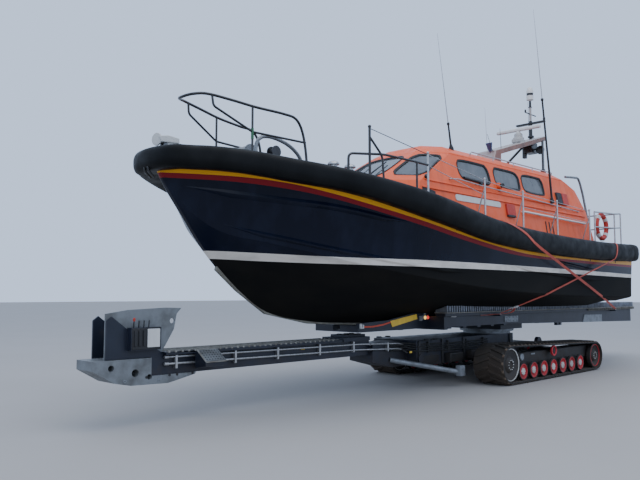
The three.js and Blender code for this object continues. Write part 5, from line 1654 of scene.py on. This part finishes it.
class LIFEBOAT_OT_nose(bpy.types.Operator):
    """Blank marker plate, lamps and small fittings on the cradle's nose"""

    bl_idname = "lifeboat.nose"
    bl_label = "Nose fittings"

    def execute(self, context):
        outline = [(-2.52, 1.236), (-1.72, 1.369), (-1.75, 1.470), (-2.58, 1.354)]
        marker = plate(outline, NOSE_FACE - 0.014, NOSE_FACE, 0.003)
        piece("marker_plate", marker, "yellow", "marker_yellow", replaces=["nose_marker"])
        housing = [block(-1.55, -1.358, NOSE_FACE - 0.02, NOSE_FACE, 1.35, 1.44, 0.006),
                   block(-1.66, -1.57, NOSE_FACE - 0.03, NOSE_FACE + 0.002, 1.33, 1.43, 0.008)]
        housing += [lathe([(0, 0), (0.044, 0), (0.044, 0.018), (0.038, 0.022), (0, 0.022)],
                          towards(OUT, (x, NOSE_FACE - 0.018, LAMP_Z)), 24) for x in LAMP_XS]
        piece("lamp_housing", housing, "galvanised", "lamp_amber", replaces=["nose_lamps"])
        for x, finish in zip(LAMP_XS, ("amber", "lamp_red")):
            lens = lathe([(0, 0.018), (0.037, 0.018), (0.036, 0.03), (0.025, 0.038), (0, 0.041)],
                         towards(OUT, (x, NOSE_FACE - 0.018, LAMP_Z)), 24)
            piece(f"lamp_{finish.removeprefix('lamp_')}_lens", lens, finish, "lamp_amber")
        pale = [block(-1.48, -1.43, NOSE_FACE - 0.006, NOSE_FACE + 0.002, 1.45, 1.475, 0.002),
                plate([(-1.12, 1.402), (-0.93, 1.402), (-0.93, 1.47)], -0.975, -0.95, 0.003)]
        pale += [block(x0, x1, NOSE_FACE - 0.04, NOSE_FACE + 0.002, z0, z1, 0.005)
                 for x0, x1, z0, z1 in NOSE_CLIP]
        piece("nose_brackets", pale, "band", "lamp_amber")
        tie = [(Vector((x, NOSE_FACE - 0.01, z)), Vector(OUT)) for x, z in NOSE_TIE]
        piece("nose_tie", strap_band(tie, 0.03, 0.004), "strap", "strap_webbing")
        return {"FINISHED"}


SKID_FACE = -0.243
BEAM_PIPE_Y = -0.246
# Heights of each pipe at its fore end, at the bend and at its aft end
PIPE_RUNS = [(0.955, 0.915, 0.800), (0.855, 0.812, 0.690)]


class LIFEBOAT_OT_drawbar(bpy.types.Operator):
    """Drawbar with walkway, step, valve block, hydraulic pipes and the skid under its nose"""

    bl_idname = "lifeboat.drawbar"
    bl_label = "Drawbar"

    def execute(self, context):
        dressed("drawbar_beam", "drawbar", "navy", "carriage_navy", 0.008)
        dressed("skid_plates", "nose_skid", "skid", "galvanised", 0.008)
        teeth = stamped([block(-0.018, 0.018, -0.306, -0.285, 1.02, 1.046, 0.003)],
                        [shift(-7.35 + 0.115 * k) for k in range(31)])
        grating = [pipe([(-7.36, y, 1.036), (-3.68, y, 1.036)], 0.006, 6)
                   for y in (-0.24, -0.12, 0, 0.12, 0.24)]
        hinge, low_y, low_z = -6.87, -0.553, 0.865
        edge = [plate(slab(-6.885, -6.485, 1.022, 1.032), -0.32, -0.28, 0.002),
                pipe([(hinge, -0.31, 1.033), (hinge, low_y, low_z)], 0.011, 8),
                pipe([(hinge, low_y, low_z), (-6.50, low_y, low_z)], 0.011, 8)]
        piece("walkway_edges", [teeth, *grating, *edge], "flange", "carriage_navy")

        slope = towards((0, -0.569, 0.822), (-6.685, -0.4355, 0.954))
        tread = placed(block(-0.18, 0.18, -0.13, 0.13, -0.005, 0.005, 0.003), slope)
        piece("step_tread", tread, "skid", "carriage_navy")
        # Dark discs on the step tread stand for its holes: painted shade
        hole = drum((0, 0, 0), UP, 0.011, 0.003, 0.001, 10)
        spots = [slope @ shift(0.05 * i - 0.15, 0.05 * k - 0.1, 0.006) for i in range(7) for k in range(5)]
        piece("step_holes_painted_shade", stamped([hole], spots), "beam", "carriage_navy")

        rounds = [drum((x, y, 1.105), UP, 0.055, 0.02) for x in (-3.32, -3.12, -2.98) for y in (-0.09, 0.09)]
        valve = [block(-7.97, -7.52, -0.33, -0.2, 1.09, 1.395, 0.012)]
        valve += [block(x, x + 0.045, -0.345, -0.3, 1.14, 1.36, 0.006) for x in (-7.94, -7.87, -7.80)]
        valve += [pipe([(x, -0.27, 1.38), (x - 0.01, -0.3, 1.5)], 0.008, 8)
                  for x in (-7.92, -7.84, -7.76, -7.68)]
        piece("valve_block", rounds + valve, "beam", "carriage_navy")
        cover = block(-7.73, -7.53, -0.338, -0.328, 1.12, 1.38, 0.003)
        piece("valve_plate", cover, "band", "carriage_navy")
        knob = drum((-7.93, -0.302, 1.515), (0, -0.1, 1), 0.017, 0.05, 0.008, 12)
        piece("valve_lever_knobs", knob, "ring", "carriage_navy")

        pipes = []
        for fore, aft, end in PIPE_RUNS:
            path = [(-7.39, BEAM_PIPE_Y, fore), (-3.06, BEAM_PIPE_Y, aft + 0.003), (-2.88, -0.345, aft),
                    (-2.0, -0.345, aft - 0.03), (-1.77, -0.345, end)]
            pipes.append(pipe(bent_path(path, 0.12, 6), 0.017))
            pipes.append(drum((-7.36, BEAM_PIPE_Y, fore), ALONG, 0.026, 0.07, 0.006, 16))
        pipes += [block(x - 0.02, x + 0.02, -0.272, -0.2103, 0.78, 0.98, 0.005)
                  for x in (-7.2, -6.1, -5.2, -4.2, -3.3)]
        pipes.append(block(-2.42, -2.38, -0.369, -0.3003, 0.75, 0.925, 0.005))
        piece("drawbar_pipe_runs", pipes, "bright", "rail_steel", replaces=["drawbar_pipes"])

        marks = [block(-4.62, -4.53, -0.2155, -0.2095, 0.9, 0.945, 0.002),
                 block(-1.98, -1.9, -0.5655, CHASSIS_FACE, 0.7, 0.74, 0.002)]
        piece("drawbar_reflectors", marks, "yellow", "marker_yellow")
        bush = [(0.012, -0.004), (0.024, -0.004), (0.024, 0.004), (0.012, 0.004)]
        holes = [lathe(bush, towards(OUT, (x, SKID_FACE, z)), 16, closed=True)
                 for x, z in ((-8.02, 0.66), (-7.48, 0.63), (-7.02, 0.66))]
        # Dark discs on the skid plate stand for its holes: painted shade
        spots = [shift(x, SKID_FACE, 0.69) @ towards(OUT) for x in (-7.68, -7.30, -7.17, -6.9)]
        bolt = drum((0, 0, 0), UP, 0.02, 0.008, 0.002, 14)
        pair("skid_holes_painted_shade", [stamped([bolt], spots)], "beam", "galvanised")
        pair("skid_bushes", holes, "galvanised", "galvanised")
        return {"FINISHED"}


class LIFEBOAT_OT_jets(bpy.types.Operator):
    """Waterjet housings, steering nozzles and reversing buckets"""

    bl_idname = "lifeboat.jets"
    bl_label = "Waterjets"

    def execute(self, context):
        for side in ("port", "starboard"):
            dressed(f"{side}_jet_body", f"{side}_jet_housing", "jet", "jet_metal", 0.005, above=30)
            for name, node, body in (("nozzle_cone", "jet_nozzle", "nozzle"),
                                     ("bucket_shell", "reversing_bucket", "bucket")):
                dressed(f"{side}_{name}", f"{side}_{node}", "jet", "jet_metal", 0.004, above=30,
                        body=f"{side}_{body}")
        return {"FINISHED"}


ARM_Y = -0.4
WINDLASS_X = -5.77
WINDLASS_ARM = [(-5.82, 3.95), (-5.82, 4.35), (-5.70, 4.48), (-5.40, 4.50), (-5.02, 4.39), (-4.80, 4.18),
                (-4.74, 3.74)]
REEL_PLACE = (-5.42, -0.38, 4.27)
REEL = [(0, -0.07), (0.1, -0.07), (0.1, -0.055), (0.06, -0.05), (0.06, 0.05), (0.1, 0.055), (0.1, 0.07),
        (0, 0.07)]
VENT_CAP = [(0, 4.0), (0.085, 4.0), (0.1, 4.012), (0.098, 4.03), (0.075, 4.055), (0.04, 4.068), (0, 4.07)]
CLEATS = [(-5.66, 0.98), (3.1, 1.62), (5.0, 1.55)]


class LIFEBOAT_OT_deck_gear(bpy.types.Operator):
    """Windlass, curved arm, hand reel, bow roller, mushroom vents and mooring cleats"""

    bl_idname = "lifeboat.deck_gear"
    bl_label = "Deck gear"

    def execute(self, context):
        cheek = [(-5.90, 4.12), (-5.64, 4.12), (-5.70, 4.30), (-5.84, 4.30)]
        body = [block(-5.95, -5.60, -0.17, 0.17, deck_z(WINDLASS_X) - 0.01, 4.13, 0.02),
                plate(cheek, -0.185, -0.15, 0.01), plate(cheek, 0.15, 0.185, 0.01)]
        winding = [(0, -0.21), (0.15, -0.21), (0.15, -0.195)]
        for k in range(9):
            winding += [(0.118, -0.18 + 0.04 * k), (0.13, -0.16 + 0.04 * k)]
        winding += [(0.118, 0.18), (0.15, 0.195), (0.15, 0.21), (0, 0.21)]
        body.append(lathe(winding, towards(ACROSS, (WINDLASS_X, 0, 4.23))))
        piece("windlass_drum", body, "galvanised", "galvanised", replaces=["windlass"])
        foot_x = WINDLASS_ARM[-1][0]
        arm = [pipe(smooth_path([(x, ARM_Y, z) for x, z in WINDLASS_ARM]), 0.032),
               pipe([(-5.82, ARM_Y, 4.16), (-5.82, -0.16, 4.16)], 0.03),
               deck_foot(foot_x, ARM_Y, radius=0.07)]
        piece("windlass_arm", arm, "galvanised", "galvanised")
        x, y, z = REEL_PLACE
        reel = lathe(REEL, towards(ACROSS, REEL_PLACE), 28)
        stalk = block(x - 0.03, x + 0.03, y - 0.03, y + 0.03, deck_z(x) - 0.01, z, 0.008)
        piece("hand_reel", [reel, stalk], "black", "black_tube")

        dressed("roller_cheeks", "bow_roller", "galvanised", "galvanised", 0.006, above=30)
        wheel = lathe([(0.016, -0.028), (0.05, -0.028), (0.032, -0.006), (0.032, 0.006), (0.05, 0.028),
                       (0.016, 0.028)], towards(ACROSS, (-7.28, 0, 4.13)), 28, closed=True)
        piece("bow_roller_wheel", wheel, "black", "black_tube")
        outline = [(-7.43, 4.17), (-7.1, 4.19), (-7.1, 4.27), (-7.3, 4.29), (-7.45, 4.26)]
        pad = [plate(outline, -0.1, 0.1, 0.012),
               drum((-7.44, 0, 4.22), (1, 0.25, 0), 0.1, 0.03),
               block(-7.3, -7.12, -0.075, 0.075, 4.1, 4.19, 0.006)]
        piece("bow_fitting", pad, "band", "galvanised")
        loop = [(x, -0.05, z) for x, z in ((-7.42, 4.04), (-7.6, 4.02), (-7.62, 3.72), (-7.5, 3.62))]
        pair("stem_hoop", [bent_pipe(loop, 0.07, 0.017)], "black", "black_tube")

        for side, sign in (("port", -1), ("starboard", 1)):
            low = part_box(f"{side}_deck_vents")[0].z
            y = sign * 1.25
            parts = [block(-4.98, -4.36, sign * 1.14, sign * 1.36, low, deck_z(-4.67) + 0.04, 0.015)]
            for x in (-4.87, -4.47):
                parts.append(pipe([(x, y, deck_z(x)), (x, y, 4.03)], 0.06, 20))
                parts.append(lathe(VENT_CAP, shift(x, y), 28))
            piece(f"{side}_mushroom_vents", parts, "steel", "rail_steel", replaces=[f"{side}_deck_vents"])
        chocks = []
        for x, y in CLEATS:
            z = deck_z(x)
            chocks += [block(x - 0.15, x + 0.15, -y - 0.05, -y + 0.05, z - 0.005, z + 0.02, 0.006),
                       *(drum((x + off, -y, z + 0.06), UP, 0.022, 0.1, 0.004, 14) for off in (-0.07, 0.07)),
                       block(x - 0.13, x + 0.13, -y - 0.02, -y + 0.02, z + 0.095, z + 0.125, 0.01)]
        pair("mooring_cleats", chocks, "galvanised", "galvanised")
        return {"FINISHED"}


def soft_block(x0, x1, y0, y1, z0, z1, puff):
    """A stuffed cushion: a box cut into a grid, puffed out in the middle and smoothed."""
    bm = bmesh.new()
    bmesh.ops.create_cube(bm, size=1)
    bmesh.ops.subdivide_edges(bm, edges=bm.edges, cuts=5, use_grid_fill=True)
    for vert in bm.verts:
        u, v, w = (c * 2 for c in vert.co)
        dome = (1 - u * u) * (1 - v * v)
        vert.co.z += 0.5 * puff * dome * (1 if w > 0 else -0.3)
    for _ in range(2):
        bmesh.ops.smooth_vert(
            bm, verts=bm.verts, factor=0.4, use_axis_x=True, use_axis_y=True, use_axis_z=True)
    return set_smooth(placed(bm, box_matrix(x0, x1, y0, y1, z0, z1)))


SEAT_SPOTS = [(x, y) for y in (-0.56, 0.56) for x in (-0.4, 0.9, 2.2)]


class LIFEBOAT_OT_cabin(bpy.types.Operator):
    """Helm console with screens and wheel, and six crew seats"""

    bl_idname = "lifeboat.cabin"
    bl_label = "Cabin"

    def execute(self, context):
        dressed("console_body", "helm_console", "trim", "cabin_trim", 0.03, 3)
        face = shift(-1.275, 0, 4.125) @ Matrix.Rotation(math.radians(31), 4, "Y")
        screens = [placed(block(-0.1, 0.1, y - 0.2, y + 0.2, -0.005, 0.014, 0.006), face)
                   for y in (-0.56, 0.0, 0.56)]
        piece("console_screens", screens, "glass", "cabin_trim")
        place = towards((1, 0, 0.35), (-1.08, -0.56, 4.02))
        rim = [Vector((0.17 * c, 0.17 * s, 0)) for c, s in arc(32)[:-1]]
        wheel = [pipe([place @ p for p in rim], 0.014, 10, closed=True)]
        wheel += [pipe([place @ Vector(), place @ (rim[k] * 0.97)], 0.009, 8) for k in (0, 11, 21)]
        wheel.append(pipe([place @ Vector((0, 0, 0.015)), place @ Vector((0, 0, -0.14))], 0.024, 12))
        piece("helm_wheel", wheel, "trim", "cabin_trim")

        stands = []
        for x, y in SEAT_SPOTS:
            low = deck_z(x)
            stands.append(block(x - 0.12, x + 0.16, y - 0.11, y + 0.11, low, 3.55, 0.02))
            stands.append(block(x - 0.25, x + 0.23, y - 0.23, y + 0.23, 3.54, 3.585, 0.015))
            stands.append(plate([(x + 0.2, 3.56), (x + 0.25, 3.56), (x + 0.35, 4.2), (x + 0.31, 4.2)],
                                y - 0.04, y + 0.04, 0.006))
        for y in (-0.56, 0.56):
            stands.append(block(-0.6, 2.5, y - 0.04, y + 0.04, 3.09, 3.2, 0.006))
        stands.append(block(0.94, 1.02, -0.56, 0.56, 3.12, 3.2, 0.006))
        piece("seat_stands", stands, "trim", "seat_cover", replaces=["crew_seats"])
        for i, (x, y) in enumerate(SEAT_SPOTS):
            cushion = soft_block(x - 0.26, x + 0.24, y - 0.24, y + 0.24, 3.58, 3.68, 0.35)
            lean = shift(x + 0.29, y, 3.98) @ Matrix.Rotation(math.radians(-98), 4, "Y")
            back = placed(soft_block(-0.36, 0.36, -0.22, 0.22, -0.05, 0.05, 0.3), lean)
            for name, pad in (("cushion", cushion), ("back", back)):
                piece(f"seat_{name}_{i}", pad, "seat", "seat_cover", sharp=80)
        return {"FINISHED"}


# Handle of a lid: Y and height over the lid
LID_GRIP = [(-0.09, -0.004), (-0.09, 0.035), (0.09, 0.035), (0.09, -0.004)]


class LIFEBOAT_OT_hatches(bpy.types.Operator):
    """Deck hatch lids and the aft door with their handles"""

    bl_idname = "lifeboat.hatches"
    bl_label = "Hatches and door"

    def execute(self, context):
        for name, node, body in (("fore_lid_skin", "foredeck_hatch_lid", "fore_lid"),
                                 ("aft_lid_skin", "aft_hatch_lid", "aft_lid")):
            dressed(name, node, "deck", "deck_grey", 0.01, 3, 30, body)
            low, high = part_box(node)
            x, top = low.x + 0.1, high.z
            grip = [(x, y, top + lift) for y, lift in LID_GRIP]
            handle = bent_pipe(grip, 0.02, 0.008, 10)
            dogs = [drum((x + 0.02, y, top), UP, 0.028, 0.012) for y in (low.y + 0.12, high.y - 0.12)]
            piece(name.replace("skin", "handle"), [handle, *dogs], "steel", "deck_grey", body)
        dressed("door_leaf", "aft_door", "orange", "orange_paint", 0.006, body="door")
        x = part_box("aft_door")[1].x - 0.037
        glass = block(x - 0.004, x + 0.004, -0.16, 0.16, 4.1, 4.46, 0.003)
        piece("door_light", glass, "glass", "tinted_glass", "door")
        rim = [(x, 0.19 * squared(c, 0.45), 4.28 + 0.21 * squared(s, 0.45)) for c, s in arc(32)[:-1]]
        piece("door_light_seal", pipe(rim, 0.011, 8, closed=True), "gasket", "tinted_glass", "door")
        return {"FINISHED"}


# Wheelhouse wall: height, then X and half-breadth at its fore and aft ends
HOUSE = [(2.90, -2.95, 1.33, 5.18, 1.42), (4.06, -2.38, 1.18, 4.88, 1.24), (4.60, -1.46, 1.05, 4.49, 1.13),
         (4.83, -1.08, 0.98, 3.84, 1.08), (5.01, -0.95, 0.70, 3.66, 0.80)]


def node_tree(node):
    mesh = NODES[node].data
    return BVHTree.FromPolygons([v.co for v in mesh.vertices], [tuple(f.vertices) for f in mesh.polygons])


HOUSE_TREE = node_tree("wheelhouse_shell")


def house_y(x, z):
    """Half-breadth of the wheelhouse wall at a place: its skin, or the table's line across a window."""
    k = max(i for i in range(len(HOUSE) - 1) if HOUSE[i][0] <= z or i == 0)
    t = min(max((z - HOUSE[k][0]) / (HOUSE[k + 1][0] - HOUSE[k][0]), 0), 1)
    fore_x, fore_y, aft_x, aft_y = (lerp(a, b, t) for a, b in zip(HOUSE[k][1:], HOUSE[k + 1][1:]))
    line = lerp(fore_y, aft_y, min(max((x - fore_x) / (aft_x - fore_x), 0), 1))
    spot = HOUSE_TREE.ray_cast(Vector((x, -3, z)), Vector(ACROSS))[0]
    return -spot.y if spot and abs(spot.y + line) < 0.12 else line


def on_wall(outline, out, edge):
    """A plate with an outline in X and Z, laid on the port wall."""
    bm = plate(outline, -0.01, out, edge)
    for vert in bm.verts:
        vert.co.y = -(house_y(vert.co.x, vert.co.z) + vert.co.y)
    bmesh.ops.reverse_faces(bm, faces=bm.faces)
    return bm


def wall_rail(points, radius, off, step=0.9):
    """A handrail that follows the wall, its ends and posts turned in to it."""
    path = [Vector((x, -(house_y(x, z) + off), z)) for x, z in points]
    first, last = path[0], path[-1]
    line = [first + Vector((0, off + 0.01, 0)), *path, last + Vector((0, off + 0.01, 0))]
    parts = [bent_pipe(line, 0.04, radius, 10)]
    count = max(1, round((last - first).length / step))
    for k in range(1, count):
        x = lerp(first.x, last.x, k / count)
        z = hermite([(p.x, p.z) for p in path], x, 1)
        y = -(house_y(x, z))
        parts.append(pipe([(x, y + 0.01, z), (x, y - off, z)], radius * 0.9, 8))
    return parts


def round_rect(x0, x1, z0, z1, r, steps=5):
    """The outline of a rectangle with round corners."""
    corners = [(x1 - r, z1 - r), (x0 + r, z1 - r), (x0 + r, z0 + r), (x1 - r, z0 + r)]
    return [(x + r * c, z + r * s) for i, (x, z) in enumerate(corners)
            for c, s in arc(steps, math.pi / 2 * i, math.pi / 2)]


HANDRAIL = [(-1.39, 4.20), (-1.13, 4.228), (-0.40, 4.19), (0.52, 4.16), (4.34, 4.015)]
ROOF_RAIL = [(-0.2, -0.9, 4.9), (-0.2, -0.93, 4.975), (3.5, -0.98, 4.975), (3.5, -0.95, 4.9)]
AFT_HOOP = [(4.01, -1.1, 4.92), (4.6, -1.1, 4.97), (4.79, -1.1, 4.96), (5.01, -1.1, 4.63), (5.10, -1.12, 4.3),
            (5.16, -1.14, 4.02), (5.2, -1.16, 3.6)]


class LIFEBOAT_OT_wall_fittings(bpy.types.Operator):
    """Handrails, blank boards, lockers and lamps on the wheelhouse walls and roof"""

    bl_idname = "lifeboat.wall_fittings"
    bl_label = "Wall fittings"

    def execute(self, context):
        rails = wall_rail(HANDRAIL, 0.013, 0.055)
        rails.append(bent_pipe(ROOF_RAIL, 0.04, 0.014, 10))
        for x in (0.7, 1.6, 2.5):
            y = -0.93 - 0.0135 * (x + 0.2)
            rails.append(pipe([(x, y, 4.89), (x, y, 4.975)], 0.011, 8))
        pair("wall_handrails", rails, "steel", "rail_steel")
        grab = wall_rail([(1.40, 3.76), (4.575, 3.713)], 0.024, 0.07)
        pair("wall_grab_rails", grab, "white", "orange_paint")

        board = on_wall(round_rect(-1.27, 0.47, 3.775, 3.905, 0.05), 0.014, 0.004)
        pair("blank_name_boards", [board], "band", "orange_paint")
        lockers = [on_wall(round_rect(0.67, 1.03, 3.63, 3.89, 0.03), 0.045, 0.01),
                   on_wall(round_rect(3.53, 3.83, 4.13, 4.43, 0.03), 0.06, 0.012)]
        pair("red_lockers", lockers, "ring", "orange_paint")
        dark = [on_wall(round_rect(3.27, 3.53, 4.13, 4.43, 0.03), 0.05, 0.01),
                on_wall(slab(0.69, 1.01, 3.59, 3.64), 0.05, 0.006),
                # A dark strip low at the wheelhouse front, where the lip over the deck casts its shadow:
                # painted shadow
                on_wall([(-2.36, 3.94), (-1.95, 3.885), (-1.95, 3.8), (-2.36, 3.8)], 0.01, 0.003)]
        dark += [on_wall(slab(x, x + 0.03, 3.2, 3.62), 0.016, 0.003) for x in (2.45, 2.62, 2.79)]
        pair("dark_wall_boxes_and_painted_shadow", dark, "trim", "orange_paint")
        ledges = [on_wall([(x0, z), (x1, z - 0.02), (x1, z - 0.045), (x0, z - 0.025)], out, 0.006)
                  for x0, x1, z, out in ((-2.25, 4.7, 4.11, 0.022), (-2.35, 4.75, 3.95, 0.03))]
        housing = on_wall(round_rect(0.45, 0.62, 4.22, 4.34, 0.03), 0.07, 0.012)
        pair("wall_ledges", [housing, *ledges], "orange", "orange_paint")
        eye = drum((0.535, -house_y(0.535, 4.28) - 0.09, 4.28), (-0.5, -1, 0), 0.05, 0.07)
        pair("side_lamps", [eye], "black", "orange_paint")
        pair("aft_hoops", [pipe(smooth_path(AFT_HOOP), 0.03, 14)], "galvanised", "rail_steel")
        return {"FINISHED"}


class LIFEBOAT_OT_plain_nodes(bpy.types.Operator):
    """Frame pieces that keep their own solid and take a finish"""

    bl_idname = "lifeboat.plain_nodes"
    bl_label = "Frame pieces"

    def execute(self, context):
        slots = {"hull_paint": "hull", "fender_rubber": "fender", "keel_bar": "keel",
                 "orange_paint": "orange", "tinted_glass": "glass", "cabin_trim": "trim",
                 "seat_cover": "seat", "deck_grey": "deck", "black_tube": "black", "rail_steel": "steel",
                 "life_ring_red": "ring", "mast_grey": "mast", "white_plastic": "white",
                 "aerial_black": "aerial", "galvanised": "galvanised", "jet_metal": "jet",
                 "strap_webbing": "strap", "track_rubber": "mud_rubber", "wheel_red": "wheel",
                 "carriage_navy": "navy", "marker_yellow": "yellow", "lamp_amber": "amber"}
        for row in frame["record"]["subparts"]:
            obj = NODES[row["node"]]
            obj.data.materials.clear()
            obj.data.materials.append(FINISHES[slots[row["material_slot"]]])
        return {"FINISHED"}


class LIFEBOAT_PT_panel(bpy.types.Panel):
    """Buttons for every piece"""

    bl_idname = "LIFEBOAT_PT_panel"
    bl_label = "Lifeboat"
    bl_space_type = "VIEW_3D"
    bl_region_type = "UI"
    bl_category = "Lifeboat"

    def draw(self, context):
        for group in GROUPS:
            settings = getattr(context.scene, group)
            for key in settings.bl_rna.properties.keys():
                if key not in ("rna_type", "name"):
                    self.layout.prop(settings, key)
        for operator in OPERATORS:
            self.layout.operator(operator.bl_idname)


OPERATORS = [LIFEBOAT_OT_stage, LIFEBOAT_OT_plain_nodes, LIFEBOAT_OT_hull, LIFEBOAT_OT_fender,
             LIFEBOAT_OT_wheelhouse, LIFEBOAT_OT_windows, LIFEBOAT_OT_wall_fittings, LIFEBOAT_OT_cabin,
             LIFEBOAT_OT_hatches, LIFEBOAT_OT_rails, LIFEBOAT_OT_life_ring, LIFEBOAT_OT_deck_gear,
             LIFEBOAT_OT_mast, LIFEBOAT_OT_radar, LIFEBOAT_OT_lantern, LIFEBOAT_OT_whips, LIFEBOAT_OT_jets,
             LIFEBOAT_OT_straps, LIFEBOAT_OT_belts, LIFEBOAT_OT_track_frames, LIFEBOAT_OT_cradle,
             LIFEBOAT_OT_nose, LIFEBOAT_OT_drawbar]
GROUPS = {"lifeboat_colours": LifeboatColours, "lifeboat_sizes": LifeboatSizes,
          "lifeboat_stage": LifeboatStage}


def register():
    for name, group in GROUPS.items():
        bpy.utils.register_class(group)
        setattr(bpy.types.Scene, name, bpy.props.PointerProperty(type=group))
    for cls in [*OPERATORS, LIFEBOAT_PT_panel]:
        bpy.utils.register_class(cls)


def unregister():
    for cls in reversed([*OPERATORS, LIFEBOAT_PT_panel]):
        bpy.utils.unregister_class(cls)
    for name, group in GROUPS.items():
        delattr(bpy.types.Scene, name)
        bpy.utils.unregister_class(group)


def main():
    register()
    make_finishes(bpy.context.scene.lifeboat_colours)
    for operator in OPERATORS:
        family, name = operator.bl_idname.split(".")
        getattr(getattr(bpy.ops, family), name)()


if __name__ == "__main__":
    main()
